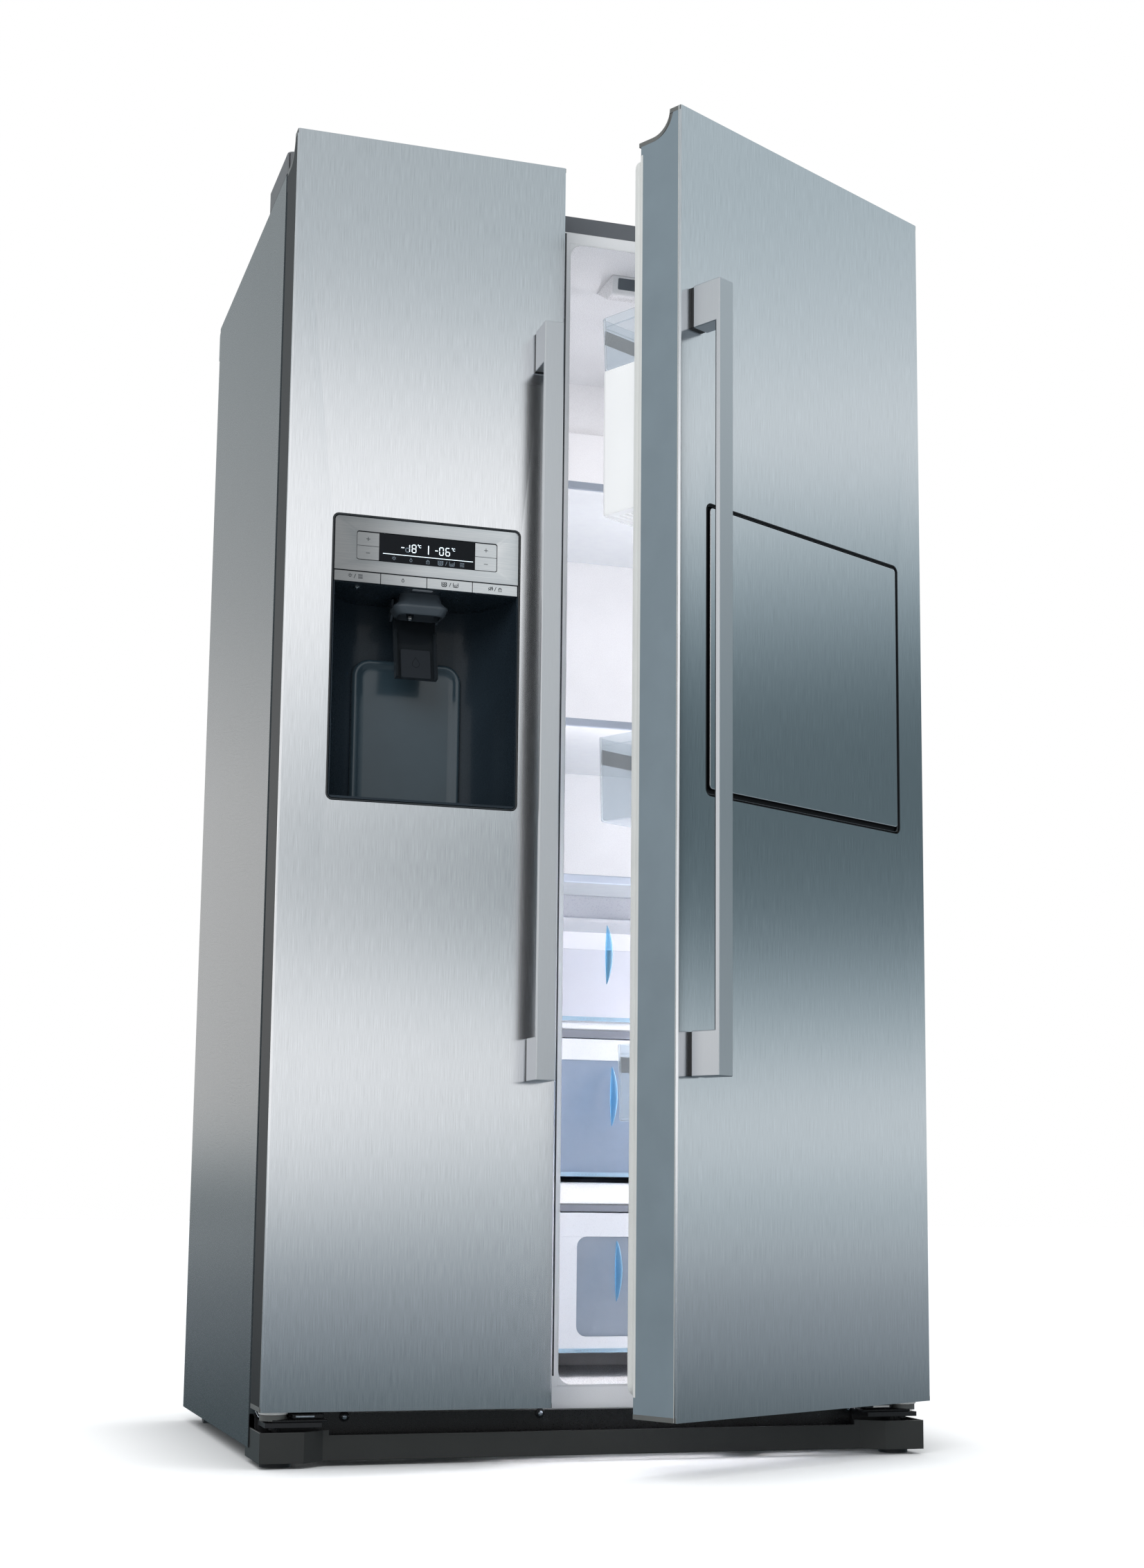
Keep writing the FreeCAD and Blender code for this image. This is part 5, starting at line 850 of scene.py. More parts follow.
# ---- inside ----
class INTERIOR_OT_shell(bpy.types.Operator):
    """Finish the liners, the glass shelves and their front trims"""
    bl_idname = "fridge.interior"
    bl_label = "Liners and shelves"

    def execute(self, context):
        settings = context.scene.fridge_interior
        white = moulded("liner_white", settings.white, 0.28, 700, 0.02, 0.06, 1.5)
        dress("freezer_liner fridge_liner freezer_duct_cover fridge_duct_cover drawer_dividers ice_maker",
              white)
        dress("breaker_frame", moulded("frame_white", settings.white, 0.3, 900, 0.02, 0.08, 1.0))
        dress("glass_shelves", clear_plastic("shelf_glass", (0.96, 0.98, 1.0), 0.03))
        edge = moulded("shelf_edge_trim", settings.trim, 0.22, 700, 0.04, 0.05)
        band = moulded("crisper_trim", settings.band, 0.3, 700, 0.03, 0.06)
        fridge, freezer = (-42.4, 402.9), (-402.9, -96.6)
        front = shut_box("shelf_trims")[0].y
        for name, x, base, top in (
                ("high_shelf_trim", fridge, 1368, 1380), ("middle_shelf_trim", fridge, 1013, 1025),
                ("low_shelf_trim", fridge, 785, 797), ("crisper_trim", fridge, 734, 767),
                ("freezer_high_trim", freezer, 1164, 1176), ("freezer_middle_trim", freezer, 892, 904),
                ("freezer_low_trim", freezer, 604, 616)):
            first = name == "crisper_trim"
            piece(name, slab((x[0], front, base), (x[1], front + 6, top)), band if first else edge,
                  "cabinet", bevel=1.6, segments=3,
                  replaces=("shelf_trims",) if first else ())
            piece(name + "_clip", slab((x[0], front + 6, top - 7), (x[1], front + 14, top + 0.6)), white,
                  "cabinet", bevel=0.8)
        # painted shade: grey strips under the dividers stand in for the shade in the gaps above the drawers
        piece("painted_gap_shade_strips", slab((-36, 203, 562.5), (402, 205, 574))
              + slab((-36, 203, 319.5), (402, 205, 329)),
              moulded("painted_gap_shade", settings.gap_shade, 0.4, 700, 0.04, 0.06), "cabinet")
        piece("mullion_strip", slab((-71, 83.75, 104), (-49.4, 84.2, 1704)),
              moulded("mullion_grey", (0.03, 0.035, 0.04), 0.4, 700, 0.05, 0.06), "cabinet")
        self.make_ceiling_unit(white)
        self.make_duct_cover(white)
        return {"FINISHED"}

    def make_duct_cover(self, white):
        """Air duct's cover down the back wall, with its outlets on the side drawn as dark fills, painted
        shade inside the openings.
        """
        low, high = shut_box("fridge_duct_cover")
        outline = ((low.x, high.y), (low.x + 5, low.y), (high.x - 5, low.y), (high.x, high.y))
        piece("duct_column", loft([level(outline, z) for z in (low.z, high.z)]), white, "cabinet",
              replaces=("fridge_duct_cover",), bevel=3, segments=3)
        # painted shade: dark slabs stand in for the shade inside the outlet slits
        slits = []
        for z in (1300, 1120, 900, 690):
            for base in (z, z + 12, z + 24):
                slits += slab((high.x - 6, low.y + 5, base), (high.x, high.y - 3, base + 5))
        piece("duct_outlet_shade_fills", slits, moulded("duct_outlet_painted_shade", (0.10, 0.11, 0.12), 0.6, 700, 0.04, 0.05),
              "cabinet")

    def make_ceiling_unit(self, white):
        """Wedge under the ceiling with a dark lens in front and rows of oval sound holes below, drawn as
        dark ovals: painted shade in place of openings.
        """
        low, high = shut_box("ceiling_unit")
        side_view = [(low.y + depth, z) for depth, z in
                     ((0, high.z), (4, low.z + 3), (6, low.z), (28, low.z), (78, high.z))]
        piece("ceiling_unit_body", along_x(side_view, low.x, high.x), white, "cabinet",
              replaces=("ceiling_unit",), bevel=1.5, segments=3)
        dark = moulded("unit_lens", (0.10, 0.12, 0.14), 0.18, 600, 0.05, 0.04, coat=0.3)
        lens = rounded((low.x + 9, low.z + 7), (high.x - 9, high.z - 4), 2, 4)
        piece("ceiling_unit_lens", loft([upright(lens, low.y + 1), upright(lens, low.y - 0.15)]), dark,
              "cabinet", turned((0, low.y, high.z), math.atan2(4, high.z - low.z - 3)))
        # painted shade: the sound holes are dark ovals in the lens colour, standing in for the shade inside
        # them
        holes = []
        for row in range(3):
            for column in range(24):
                hole = oval(low.x + 12 + column * 10 + 5 * (row % 2), low.y + 10.5 + row * 6, 3.0, 1.6, 10)
                holes += loft([level(hole, low.z + 0.6), level(hole, low.z + 0.02)])
        piece("ceiling_unit_holes", holes, dark, "cabinet")


class INTERIOR_OT_bins(bpy.types.Operator):
    """Mould the door bins with their chromed bands and the white storage box"""
    bl_idname = "fridge.door_bins"
    bl_label = "Door bins"

    def execute(self, context):
        settings = context.scene.fridge_interior
        clear = clear_plastic("clear_bin", settings.clear, haze=0.05)
        chrome = moulded("bin_chrome", settings.chrome, 0.15, 400, 0.05, 0.04)
        low, high = shut_box("fridge_door_bins")
        left, right, back = low.x, high.x, low.y
        for name, front, base, top in (("top_bin", 190, 1455, 1530), ("middle_bin", 190, 831, 945),
                                       ("low_bin", 152, 436, 535)):
            self.make_bin(name, "fridge_door", (left, back, base), (right, front, top), (6, 36, 16), clear,
                          chrome)
            outer, inner = [rounded((left + inset, back + inset), (right - inset, front - inset), corner, 5)
                            for inset, corner in ((3.2, 6), (4.4, 5))]
            rib = [level(outer, top - 13), level(outer, top - 11.6), level(inner, top - 11.6),
                   level(inner, top - 13)]
            piece(name + "_rib", loft(rib, closed=True), clear, "fridge_door")
        self.make_storage_box(left, right, back, settings)
        low, high = shut_box("freezer_door_bins")
        for row, (base, top) in enumerate(((150, 250), (480, 580), (1290, 1380), (1500, 1590))):
            self.make_bin("freezer_bin_%d" % (row + 1), "freezer_door", (low.x, low.y, base),
                          (high.x, high.y, top), (8, 34, 15), clear, chrome)
        return {"FINISHED"}

    def make_bin(self, name, body, low, high, band, clear, chrome):
        """Clear tray with a chromed band; band holds its inset and how far its edges are under the rim."""
        inset, foot, head = band
        piece(name, tray(low, high, 3), clear, body, sharp=40,
              replaces=(body + "_bins",) if name in ("top_bin", "freezer_bin_1") else ())
        piece(name + "_band", slab((low[0] + inset, high[1] - 4.4, high[2] - foot),
                                   (high[0] - inset, high[1] - 3.4, high[2] - head)),
              chrome, body, bevel=0.3)

    def make_storage_box(self, left, right, back, settings):
        """Opaque box with a lifted lid edge and a ribbed underside; its white glows faintly of itself, a
        painted light that brightens it.
        """
        white = moulded("storage_white_painted_glow", settings.box, 0.4, 900, 0.02, 0.08)
        # painted light: the box's white glows of itself to brighten it
        fill(white.node_tree, white.node_tree.nodes["Principled BSDF"],
             {"Emission Color": (1, 1, 1, 1), "Emission Strength": 0.22})
        front, base = 187, 1250
        loops = [level(rounded((left + inset, back + inset * 0.3), (right - inset, front - inset),
                               max(9 - inset, 2)), base + height)
                 for inset, height in ((9.0, 4.0), (5.0, 4.0), (4.0, 0.6), (1.6, 0.0), (0.6, 3.0),
                                       (0.0, 120.0), (0.0, 196.0), (0.0, 202.0), (0.6, 203.0), (3.2, 203.0),
                                       (3.4, 200.0), (4.4, 10.0))]
        piece("storage_box", loft(loops), white, "fridge_door", sharp=40)
        ribs = []
        for row in range(9):
            y = back + 14 + row * 10.5
            ribs += slab((left + 24, y, base + 1.4), (right - 24, y + 4, base + 4.2))
        piece("storage_box_ribs", ribs, white, "fridge_door", bevel=0.6)


class INTERIOR_OT_drawers(bpy.types.Operator):
    """Mould the drawers with their rims, windows, slider strips and leaf-shaped grips"""
    bl_idname = "fridge.drawers"
    bl_label = "Drawers"

    def execute(self, context):
        settings = context.scene.fridge_interior
        clear = clear_plastic("clear_drawer", (0.97, 0.98, 1.0), haze=0.03)
        window = clear_plastic("drawer_window", settings.window, 0.12, 0.9, haze=0.62)
        smoke = clear_plastic("low_drawer_window", settings.low_window, 0.2, 0.9, haze=0.8)
        rim = moulded("drawer_rim", settings.rim, 0.3, 800, 0.02, 0.06)
        strip = clear_plastic("slider_strip", (0.55, 0.72, 0.84), 0.1, haze=0.45)
        ink = moulded("slider_marks", (0.22, 0.36, 0.46), 0.4, 900, 0.05, 0.05)
        grip = clear_plastic("grip_blue", settings.grip, 0.05, haze=0.07)
        # finish, height of the rim, width and foot of the window's frame, place and drop of the grip
        for name, finish, rim_drop, side, foot, across, grip_drop in (
                ("top_drawer", clear, 0, 0, 0, 58, 4), ("middle_drawer", window, 30, 1.5, 7, 67, 38),
                ("bottom_drawer", smoke, 33, 27, 22, 76, 38), ("freezer_drawer", window, 30, 1.5, 7, 0, 0)):
            low, high = shut_box(name)
            front = low.y + (12 if across else 0)
            piece(name + "_box", tray((low.x, front, low.z), high, 4), finish, name,
                  replaces=(name,), sharp=40)
            if rim_drop:
                self.make_rim(name, low, high, front, rim_drop, side, foot, rim)
            if across:
                self.make_strip(name, low, front, strip, ink)
                self.make_grip(name, across, high.z - grip_drop, front, grip)
        return {"FINISHED"}

    def make_rim(self, name, low, high, front, drop, side, foot, finish):
        """White band along the top of the front, and the frame round a window where there is one."""
        band = rounded((low.x + 0.6, high.z - drop), (high.x - 0.6, high.z - 0.4), 2.5, 4)
        shapes = loft([upright(band, front + 6), upright(band, front - 0.4)])
        if side > 5:
            outer = rounded((low.x + 3, low.z + 5), (high.x - 3, high.z - drop + 2), 4, 5)
            inner = rounded((low.x + 2 * side, low.z + foot), (high.x - side, high.z - drop), 14, 5)
            shapes += loft([upright(outer, front + 1), upright(outer, front - 0.3),
                            upright(inner, front - 0.3), upright(inner, front + 1)], closed=True)
        piece(name + "_rim", shapes, finish, name, bevel=0.3)

    def make_strip(self, name, low, front, finish, ink):
        """Clear slider strip along the foot of the front, with a small row of marks."""
        y, z, start = front - 1.5, low.z + 3, low.x + 52
        piece(name + "_slider", slab((low.x + 6, y, low.z), (low.x + 300, front + 1, low.z + 6)), finish,
              name, bevel=0.5)
        marks = stroke([(start, z - 1.7), (start + 42, z - 1.7), (start + 42, z + 1.7), (start, z + 1.7),
                        (start, z - 1.7)], 0.5, y)
        for dot in range(7):
            x = start + 6 + dot * 5
            marks += stroke([(x, z - 0.7), (x, z + 0.7)], 1.4, y)
        piece(name + "_marks", marks, ink, name)

    def make_grip(self, name, across, top, front, finish):
        """Slim leaf that stands proud of the front."""
        steps, height = 14, 84
        loops = []
        for step in range(steps + 1):
            swell = math.sin(math.pi * step / steps)
            leaf = oval(across, front + 1.5 - 9.5 * swell ** 0.7, 0.6 + 5.2 * swell ** 0.8,
                        0.8 + 2.6 * swell, 12)
            loops.append(level(leaf, top - step / steps * height))
        piece(name + "_grip", loft(loops), finish, name, sharp=60)


LAMP_COLOUR = (1.0, 0.94, 0.945)


class INTERIOR_OT_lamps(bpy.types.Operator):
    """Light both compartments"""
    bl_idname = "fridge.lamps"
    bl_label = "Inside lamps"

    def execute(self, context):
        power = context.scene.fridge_interior.lamp_power
        for name, spot, aim, size, share in (
                ("fridge_lamp_high", (0.20, 0.30, 1.655), (0.15, 0.50, 1.0), (0.30, 0.12), 0.75),
                ("fridge_lamp_upper", (0.39, 0.30, 1.20), (0.0, 0.50, 1.20), (0.20, 0.30), 0.95),
                ("fridge_lamp_middle", (0.39, 0.30, 0.91), (0.0, 0.50, 0.91), (0.20, 0.20), 0.95),
                ("fridge_lamp_top_drawer", (0.39, 0.15, 0.66), (0.0, 0.35, 0.66), (0.10, 0.12), 5.0),
                ("fridge_lamp_middle_drawer", (0.39, 0.13, 0.46), (0.0, 0.30, 0.46), (0.08, 0.16), 1.8),
                ("fridge_lamp_low", (0.39, 0.13, 0.22), (0.0, 0.30, 0.22), (0.08, 0.18), 1.0),
                ("freezer_lamp", (-0.25, 0.30, 1.64), (-0.25, 0.45, 1.0), (0.20, 0.12), 0.5)):
            made = area_light(name, CABINET @ Vector(spot), CABINET @ Vector(aim), size, power * share)
            made.data.color = LAMP_COLOUR
            made.visible_camera = False
        return {"FINISHED"}


# ---- dispenser ----
MIDDLE = (DISPENSER[0] + DISPENSER[1]) / 2
DISPLAY = (-330, -199, 1170, 1208.5)
PANEL_FACE = 1.0
# painted reflection: the panel's colour is darker to the left and brighter to the right, standing in for
# the sheen of the lights
PANEL_PAINTED_SHEEN = ((DISPENSER[0], 0.32), (DISPENSER[0] + 45, 0.40), (MIDDLE, 0.80), (DISPENSER[1], 1.0))

# symbols as lines of (x, z) in millimetres from their middles
GLASS = [(-3.7, 3.5), (-3.7, -2.4), (-2.7, -3.4), (2.7, -3.4), (3.7, -2.4), (3.7, 3.5)]
LAMP = [arc(0, 0.8, 1.5, -50, 230), [(-0.8, -0.5), (-0.8, -1.7), (0.8, -1.7), (0.8, -0.5)]]
LAMP += [[arc(0, 0.8, reach, a, a, 1)[0] for reach in (2.3, 3.3)] for a in (-25, 25, 90, 155, 205)]
DROP = [[(0, 2.9)] + arc(0, -0.7, 1.75, 28, -208) + [(0, 2.9)]]
FILTER = [[(-3.3, z), (3.3, z)] for z in (2.7, 0.9, -0.9, -2.7)]
CUBES = [GLASS] + [arc(cx, cz, size, tilt, tilt + 360, 4) for cx, cz, size, tilt in
                   ((-1.4, 1.5, 1.7, 20), (1.6, 1.9, 1.6, 60), (-1.3, -1.6, 1.6, 45), (1.7, -1.4, 1.7, 10))]
CRUSHED = [GLASS, [(-3.2, 0.4), (-2.0, -1.6), (-0.9, 0.9), (0.4, -1.2), (1.5, 1.4), (2.4, -0.6),
                   (3.2, 0.9)], [(-2.2, -2.3), (-1.0, -1.4), (0.2, -2.5), (1.4, -1.6), (2.4, -2.4)]]
MUTE = [[(-3.0, 1.0), (-1.6, 1.0), (0.3, 2.9), (0.3, -2.9), (-1.6, -1.0), (-3.0, -1.0), (-3.0, 1.0)],
        arc(0.4, 0, 1.9, -50, 50), arc(0.4, 0, 3.2, -50, 50), [(-3.0, -3.0), (3.2, 3.2)]]
LOCK = [[(-2.4, 0.4), (2.4, 0.4), (2.4, -3.1), (-2.4, -3.1), (-2.4, 0.4)], arc(0, 0.6, 1.7, 0, 180),
        [(0, -0.8), (0, -1.9)]]
SLASH = [[(-1.3, -3.2), (1.3, 3.2)]]
MINUS = [[(-2.7, 0), (2.7, 0)]]
PLUS = MINUS + [[(0, -2.7), (0, 2.7)]]
KEYS = {"lamp_key": ((LAMP, -368.7), (SLASH, -362.3), (FILTER, -354.8)),
        "water_key": ((DROP, -297.2),),
        "ice_key": ((CUBES, -240.8), (SLASH, -232.6), (CRUSHED, -224.9)),
        "lock_key": ((MUTE, -176.6), (SLASH, -169.9), (LOCK, -163.3))}


def digit_bars(lit):
    """Bars of a seven-bar figure, 6.4 wide and 11.6 high, from its middle; lit names the bars."""
    x, z, gap = 2.6, 5.2, 0.55
    bars = {"a": [(-x + gap, z), (x - gap, z)], "b": [(x, z - gap), (x, gap)],
            "c": [(x, -gap), (x, -z + gap)], "d": [(-x + gap, -z), (x - gap, -z)],
            "e": [(-x, -gap), (-x, -z + gap)], "f": [(-x, z - gap), (-x, gap)],
            "g": [(-x + gap, 0), (x - gap, 0)]}
    return [bars[bar] for bar in lit]


def draw(symbol, x, z, y, width, scale=1.0):
    """A symbol's lines at a place."""
    return [shape for line in symbol
            for shape in stroke([(x + px * scale, z + pz * scale) for px, pz in line], width, y, 0.06)]


class DISPENSER_OT_panel(bpy.types.Operator):
    """Build the control panel with its display, rocker keys, key row and symbols"""
    bl_idname = "fridge.control_panel"
    bl_label = "Control panel"

    def execute(self, context):
        settings = context.scene.fridge_dispenser
        steel = brushed("panel_steel", settings.panel, 0.30, vertical=False, lean=0.55, streak=0.16,
                        bump=0.06, painted_sheen=PANEL_PAINTED_SHEEN)
        dark = moulded("panel_gap", (0.012, 0.016, 0.02), 0.4, 900, 0.05, 0.08)
        ink = moulded("symbol_ink", settings.print_tone, 0.5, 1500, 0.05, 0.05)
        left, right, top = DISPENSER[0] + 3.8, DISPENSER[1] - 3.8, DISPENSER[3] - 3.8
        piece("panel_carrier", slab((left, 6.0, 1142.1), (right, 22, top))
              + slab((left, 2.4, 1152), (right, 6.1, top - 2)), dark, "freezer_door",
              replaces=("control_panel",))
        self.make_plate(left, right, top, steel)
        self.make_display(settings)
        for name in ("freezer_temp_key", "fridge_temp_key"):
            self.make_rocker(name, steel, dark, ink)
        for name, symbols in KEYS.items():
            low, high = shut_box(name)
            piece(name + "_cap", slab(low, high), steel, name, replaces=(name,), bevel=0.3)
            lines = [shape for symbol, x in symbols for shape in draw(symbol, x, 1146.6, low.y, 0.8, 0.9)]
            piece(name + "_symbols", lines, ink, name)
        return {"FINISHED"}

    def make_plate(self, left, right, top, steel):
        """Steel plate over the key row, cut out for the display and its two rockers."""
        bottom, r = 1154.3, 5.2
        outer = ([(left, bottom), (right, bottom)] + arc(right - r, top - r, r, 0, 90, 8)
                 + arc(left + r, top - r, r, 90, 180, 8))
        inner = rounded((DISPLAY[0] - 31, DISPLAY[2] - 0.5), (DISPLAY[1] + 31, DISPLAY[3] + 0.5), 3.2)
        piece("panel_plate", plate_with_hole(outer, inner, PANEL_FACE), steel, "freezer_door",
              sheet=1.2)

    def make_display(self, settings):
        """Dark glass with the lit figures over a row of faint symbols."""
        glass = moulded("display_glass", (0.006, 0.008, 0.011), 0.12, 700, 0.05, 0.02, specular=0.1)
        glow = glowing("display_glow", settings.glow, 0.95)
        dim = glowing("display_dim", (0.20, 0.25, 0.30), 0.10)
        face = rounded((DISPLAY[0] + 0.2, DISPLAY[2]), (DISPLAY[1] - 0.2, DISPLAY[3]), 0.8, 3)
        piece("display_glass", loft([upright(face, 3.0), upright(face, PANEL_FACE)]), glass, "freezer_door")
        y, bar, digits_z = PANEL_FACE - 0.02, 1.15, 1191.4
        bright = []
        for lit, x in (("bc", -291.6), ("abcdefg", -283.0), ("abcdef", -245.3), ("acdefg", -236.7)):
            bright += draw(digit_bars(lit), x, digits_z, y, bar)
        for x, reach in ((-298.4, 2.1), (-252.1, 1.9)):
            bright += stroke([(x - reach, 1191.6), (x + reach, 1191.6)], bar, y)
        for x in (-275.4, -228.6):
            bright += draw([arc(-1.9, 1.7, 0.55, 0, 360, 8), arc(0.9, 0, 1.7, 50, 310)], x, 1195.2, y, 0.7)
        bright += stroke([(-263.2, digits_z - 6), (-263.2, digits_z + 6)], 1.2, y)
        bright += stroke([(-325.2, 1181.2), (-201.5, 1181.2)], 0.8, y)
        faint = draw(digit_bars("deg"), -291.6, digits_z, y, bar)
        for symbol, x in ((LAMP, -310), (DROP, -286.9), (LOCK, -263.7), (CUBES, -246.4), (SLASH, -238.4),
                          (CRUSHED, -230.6), (FILTER, -216.6)):
            faint += draw(symbol, x, 1175.4, y, 0.6, 0.9)
        piece("display_figures", bright, glow, "freezer_door")
        piece("display_symbols", faint, dim, "freezer_door")

    def make_rocker(self, name, steel, dark, ink):
        """Key with plus and minus halves, rounded on the side away from the display."""
        low, high = shut_box(name)
        round_x = low.x if name == "freezer_temp_key" else high.x
        foot, head = low.z + 0.2, high.z - 0.2
        outline = []
        for x, z, start in ((high.x, head, 0), (low.x, head, 90), (low.x, foot, 180), (high.x, foot, 270)):
            r = 2.8 if x == round_x else 0.2
            outline += arc(x - r if x == high.x else x + r, z - r if z == head else z + r, r, start,
                           start + 90, 6)
        piece(name + "_cap", loft([upright(outline, high.y), upright(outline, low.y + 0.15)]), steel, name,
              replaces=(name,), bevel=0.25)
        centre, middle, y = (low.x + high.x) / 2, (low.z + high.z) / 2, low.y + 0.13
        piece(name + "_signs", draw(PLUS, centre, middle + 9.6, y, 0.75)
              + draw(MINUS, centre, middle - 9.6, y, 0.75), ink, name)
        piece(name + "_split", stroke([(low.x + 0.1, middle), (high.x - 0.1, middle)], 0.6, y), dark, name)


class DISPENSER_OT_recess(bpy.types.Operator):
    """Mould the dispenser's frame, recess, back plate, spout, lamp and paddle"""
    bl_idname = "fridge.dispenser"
    bl_label = "Dispenser recess"

    def execute(self, context):
        settings = context.scene.fridge_dispenser
        dress("dispenser_housing", moulded("recess_gloss", settings.housing, 0.30, 500, 0.08, 0.04, 0,
                                           coat=0.08, specular=0.18))
        plate = moulded("back_plate_gloss", settings.plate, 0.22, 400, 0.06, 0.03, 0, coat=0.3)
        spout = moulded("spout_gloss", settings.spout, 0.22, 700, 0.06, 0.05)
        dark = moulded("dispenser_frame", (0.012, 0.016, 0.02), 0.22, 900, 0.05, 0.05, coat=0.3)
        chrome = moulded("chrome", (0.80, 0.82, 0.84), 0.12, 300, 0.03, 0.03, metal=1.0)
        profile = ((0.0, 1.2), (0.5, 0.35), (1.3, 0.0), (2.3, 0.15), (3.1, 0.9), (3.5, 2.2), (3.5, 9.0),
                   (0.0, 9.0))
        piece("dispenser_frame", loft(shrinking(DISPENSER, 9, profile, 8), closed=True), dark,
              "freezer_door", replaces=("dispenser_trim",), sharp=50)
        self.make_back_plate(plate)
        self.make_spout(spout, chrome, dark)
        self.make_lamp(chrome)
        smoke = clear_plastic("paddle_smoke", (0.10, 0.125, 0.15), 0.08, 0.55)
        dress("dispenser_paddle", smoke)
        self.make_pad(clear_plastic("pad_smoke", (0.05, 0.06, 0.075), 0.1, 0.5, haze=0.35), smoke)
        return {"FINISHED"}

    def make_back_plate(self, finish):
        """Pillow-edged plate on the recess's back wall, open at the bottom."""
        half, top, bottom, corner = 76.5, 1062, 851.6, 25
        lines = []
        for inset, depth in ((0.0, 109.5), (0.6, 106.0), (2.4, 103.4), (4.6, 102.6), (7.0, 103.1),
                             (9.5, 104.6), (12.0, 106.0), (15.0, 106.8), (18.0, 107.0)):
            r, w, t = max(corner - inset, 1), half - inset, top - inset
            path = ([(MIDDLE - w, bottom)] + arc(MIDDLE - w + r, t - r, r, 180, 90, 10)
                    + arc(MIDDLE + w - r, t - r, r, 90, 0, 10) + [(MIDDLE + w, bottom)])
            lines.append(upright(path, depth))
        piece("recess_back_plate", joined(lines) + [(lines[-1], [range(len(lines[-1]))])], finish,
              "freezer_door", sharp=60)

    def make_spout(self, finish, chrome, dark):
        """Funnel with rounded corners, the water nozzle inside and the ears that hold the paddle."""
        low, high = shut_box("ice_spout")
        # drop, inset and corner radius down the outside and up the inside
        shape = ((0.0, 10.0, 12), (4.0, 9.6, 12), (12.0, 6.4, 13), (16.5, 1.6, 14), (18.5, 0.4, 14),
                 (21.0, 0.6, 14), (27.0, 4.0, 13), (29.0, 5.4, 13), (30.0, 6.6, 13), (30.0, 9.2, 11),
                 (26.0, 8.0, 11.5), (20.0, 5.0, 12), (12.0, 10.4, 11), (6.0, 12.5, 10), (2.5, 13.0, 10))
        funnel = [level(rounded((low.x + inset, low.y + inset * 0.6),
                                (high.x - inset, low.y + 46 - inset * 0.6), r, 7), high.z - drop)
                  for drop, inset, r in shape]
        piece("ice_funnel", loft(funnel), finish, "freezer_door", replaces=("ice_spout",),
              sharp=50)
        for name, material, foot, profile in (("water_nozzle", dark, 0,
                                               ((5.4, 1135), (5.2, 1112), (4.5, 1107), (4.4, 1104.4),
                                                (4.0, 1104.2), (2.5, 1104.6), (2.3, 1106), (2.3, 1112))),
                                              ("nozzle_ring", chrome, 0.05,
                                               ((4.6, 1104.9), (4.6, 1104.3), (4.2, 1104.0), (2.9, 1104.0),
                                                (2.6, 1104.3), (2.6, 1105.0)))):
            piece(name, lathe((MIDDLE - 13, low.y + 20, foot), 2, profile), material, "freezer_door",
                  sharp=50)
        side_view = [(62, 1137), (79, 1137), (79, 1111), (75, 1108.5), (69, 1111), (62, 1120)]
        piece("paddle_ears", along_x(side_view, MIDDLE - 30, MIDDLE - 33.2)
              + along_x(side_view, MIDDLE + 30, MIDDLE + 33.2), finish, "freezer_door",
              bevel=0.5)

    def make_lamp(self, chrome):
        """Small lamp lens in the recess's ceiling with its clips, and the strip behind the key row."""
        x, ceiling = -354.8, 1138
        lens = lathe((x, 24, ceiling), 2, ((5.2, 0.0), (5.2, -0.7), (4.4, -1.2), (3.6, -1.1), (2.6, -2.2),
                                           (0.8, -3.0)))
        piece("recess_lamp", lens, chrome, "freezer_door", sharp=50)
        clips = [slab((x + side - 2, 23.4, 1137.4), (x + side + 2, 24.6, 1138.2))[0] for side in (-9, 9)]
        piece("recess_lamp_clips", clips, bpy.data.materials["panel_gap"], "freezer_door")
        strip = rounded((-282, 7), (-254, 14), 2, 4)
        piece("recess_strip_lens", loft([level(strip, 1138.2), level(strip, 1137.2)]),
              moulded("strip_lens", (0.34, 0.37, 0.40), 0.2, 500, 0.05, 0.04, coat=0.3), "freezer_door",
              bevel=0.4)

    def make_pad(self, finish, mark):
        """Raised pad with a drop mark, low on the paddle's front."""
        lean = turned((0, 74, 1116), math.radians(-12))
        front = 69.4
        outer = rounded((MIDDLE - 20.6, 1024.6), (MIDDLE + 20.6, 1066.4), 2, 4)
        inner = rounded((MIDDLE - 20.0, 1025.2), (MIDDLE + 20.0, 1065.8), 1.6, 4)
        piece("paddle_pad", loft([upright(outer, 70.5), upright(outer, front + 0.6),
                                  upright(inner, front)]), finish, "dispenser_paddle", lean,
              sharp=50)
        drop = [(MIDDLE, 1055)] + arc(MIDDLE, 1045.4, 5.0, 30, -210, 20) + [(MIDDLE, 1055)]
        piece("paddle_drop_mark", stroke(drop, 0.6, front, 0.25), mark, "dispenser_paddle",
              lean)


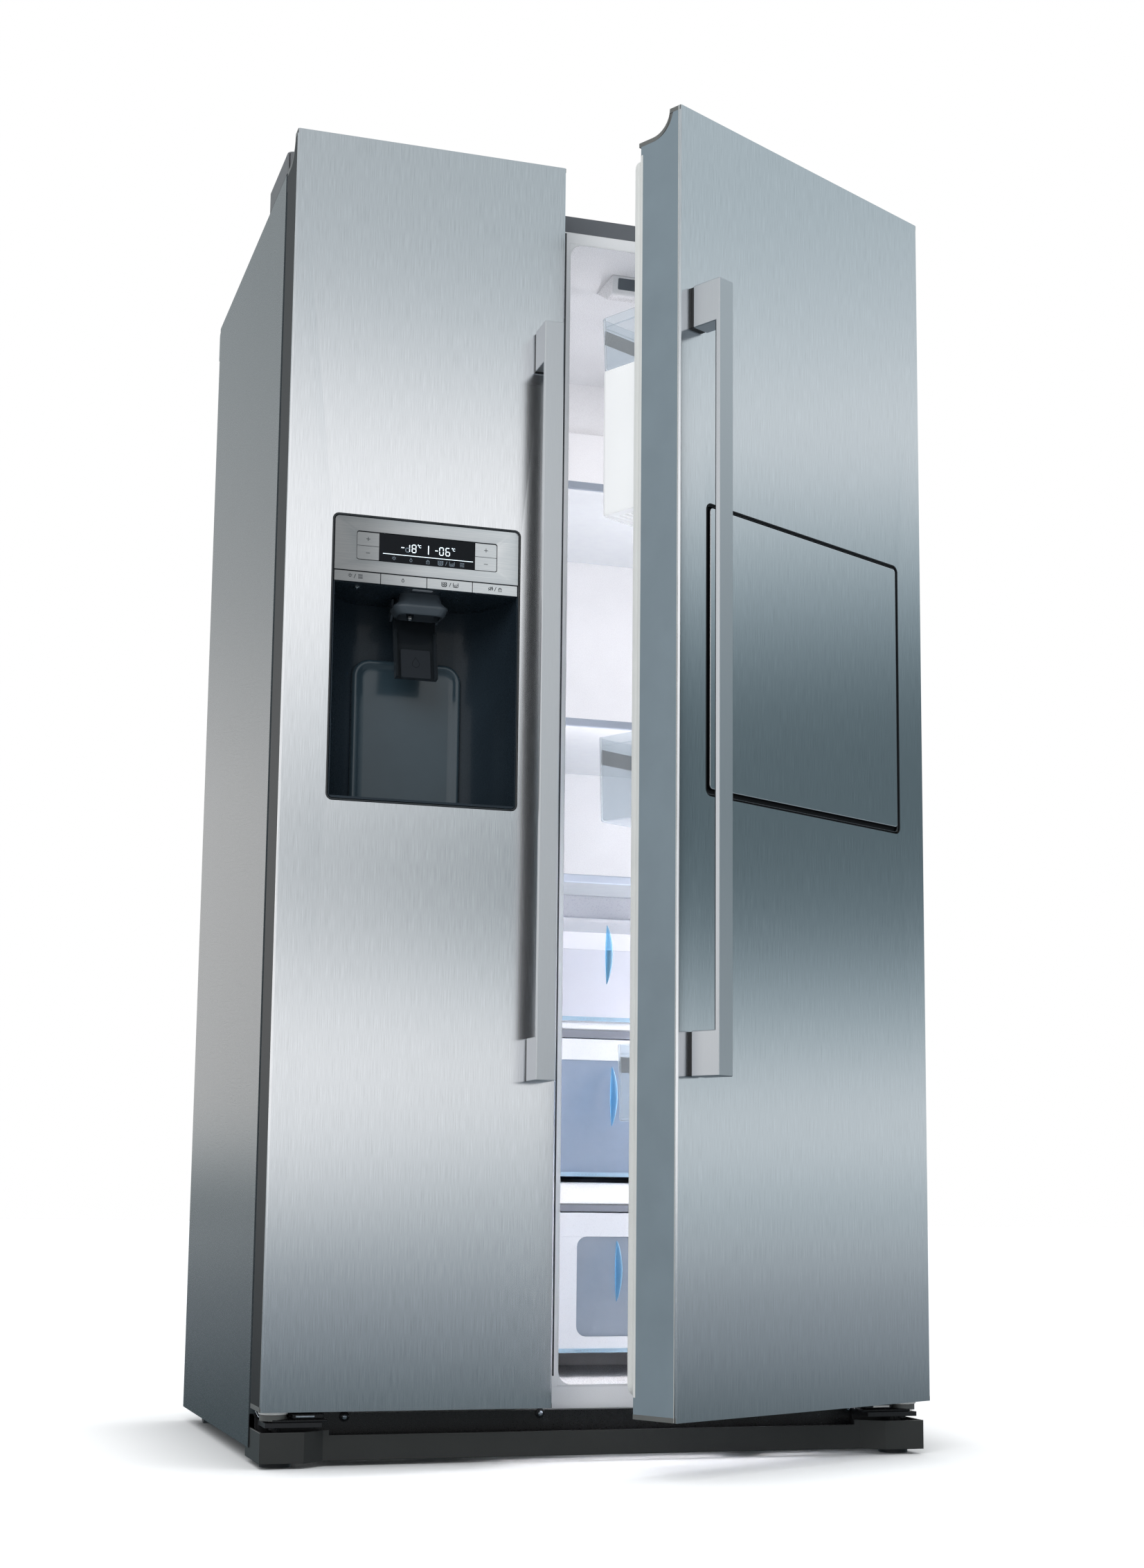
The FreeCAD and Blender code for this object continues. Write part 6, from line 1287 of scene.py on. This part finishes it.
# ---- home bar ----
class HOMEBAR_OT_flap(bpy.types.Operator):
    """Fit the home bar's groove and its drop-down flap"""
    bl_idname = "fridge.home_bar"
    bl_label = "Home bar"

    def execute(self, context):
        settings = context.scene.fridge_homebar
        black = moulded("groove_black", settings.groove, 0.45, 900, 0.05, 0.08, 0.4, specular=0.12)
        dress("home_bar_frame", black)
        bead = shrinking(HOME_BAR, 10, ((2.6, 3.4), (2.6, 2.0), (2.9, 1.6), (3.3, 1.6), (3.6, 2.0),
                                        (3.6, 3.4)))
        piece("groove_bead", loft(bead, closed=True), moulded("groove_bead", settings.bead, 0.25, 900, 0.05,
                                                              0.05), "fridge_door", sharp=50)
        left, right, foot, top = HOME_BAR
        gap = settings.groove_width / MM
        flap = (left + 1.6 * gap, right - gap, foot + 1.8 * gap, top - gap)
        for name, finish, section in (
                ("home_bar_face", bpy.data.materials["brushed_door_steel"],
                 ((0.6, 1.3), (0.0, 1.3), (0.0, 0.7), (0.2, 0.3), (0.6, 0.05), (1.0, 0.0))),
                ("home_bar_body", black, ((0.2, 5.0), (0.2, 1.3)))):
            piece(name, loft(shrinking(flap, 5, section)), finish, "home_bar_flap", sharp=50,
                  replaces=("home_bar_flap",) if name == "home_bar_face" else ())
        # insulated block on the flap's back, and the seal round it
        left, right, foot, top = left + 17, right - 17, foot + 48, top - 17
        back = shut_box("home_bar_flap")[1].y
        block = [upright(rounded((left + inset, foot + inset), (right - inset, top - inset),
                                 max(10 - inset * 0.5, 3)), depth) for inset, depth in
                 ((0.0, 5.0), (0.0, 30.0), (1.0, 36.0), (4.0, back), (12.0, back), (14.0, 35.0))]
        piece("home_bar_block", loft(block), bpy.data.materials["door_inner_panel"], "home_bar_flap",
              sharp=50)
        seal = shrinking((left, right, foot, top), 10, ((-1.8, 5.0), (-2.6, 6.5), (-2.6, 9.0), (-1.4, 10.0),
                                                        (0.2, 9.4), (0.2, 5.0)))
        piece("home_bar_seal", loft(seal, closed=True), bpy.data.materials["soft_seal"], "home_bar_flap",
              sharp=50)
        return {"FINISHED"}


class REFRIGERATOR_PT_panel(bpy.types.Panel):
    """Sidebar panel with the settings and the building steps"""
    bl_label = "Refrigerator"
    bl_idname = "REFRIGERATOR_PT_panel"
    bl_space_type = "VIEW_3D"
    bl_region_type = "UI"
    bl_category = "Refrigerator"

    def draw(self, context):
        for name in SETTINGS:
            group = getattr(context.scene, name)
            box = self.layout.box()
            for key in group.bl_rna.properties.keys():
                if key not in ("rna_type", "name"):
                    box.prop(group, key)
        for step in STEPS:
            self.layout.operator(step.bl_idname)


SETTINGS = {"fridge_studio": STUDIO_PG_settings, "fridge_doors": DOOR_PG_settings,
            "fridge_handles": HANDLE_PG_settings, "fridge_dispenser": DISPENSER_PG_settings,
            "fridge_homebar": HOMEBAR_PG_settings, "fridge_interior": INTERIOR_PG_settings,
            "fridge_base": BASE_PG_settings}
STEPS = (STUDIO_OT_stage, DOORS_OT_faces, DOORS_OT_seals, HANDLES_OT_bars, CASING_OT_shell, BASE_OT_details,
         INTERIOR_OT_shell, INTERIOR_OT_bins, INTERIOR_OT_drawers, INTERIOR_OT_lamps, DISPENSER_OT_panel,
         DISPENSER_OT_recess, HOMEBAR_OT_flap)
CLASSES = tuple(SETTINGS.values()) + STEPS + (REFRIGERATOR_PT_panel,)


def register():
    for made in CLASSES:
        bpy.utils.register_class(made)
    for name, group in SETTINGS.items():
        setattr(bpy.types.Scene, name, PointerProperty(type=group))


def unregister():
    for name in SETTINGS:
        delattr(bpy.types.Scene, name)
    for made in reversed(CLASSES):
        bpy.utils.unregister_class(made)


def main():
    register()
    for step in STEPS:
        getattr(bpy.ops.fridge, step.bl_idname.split(".")[1])()


if __name__ == "__main__":
    main()
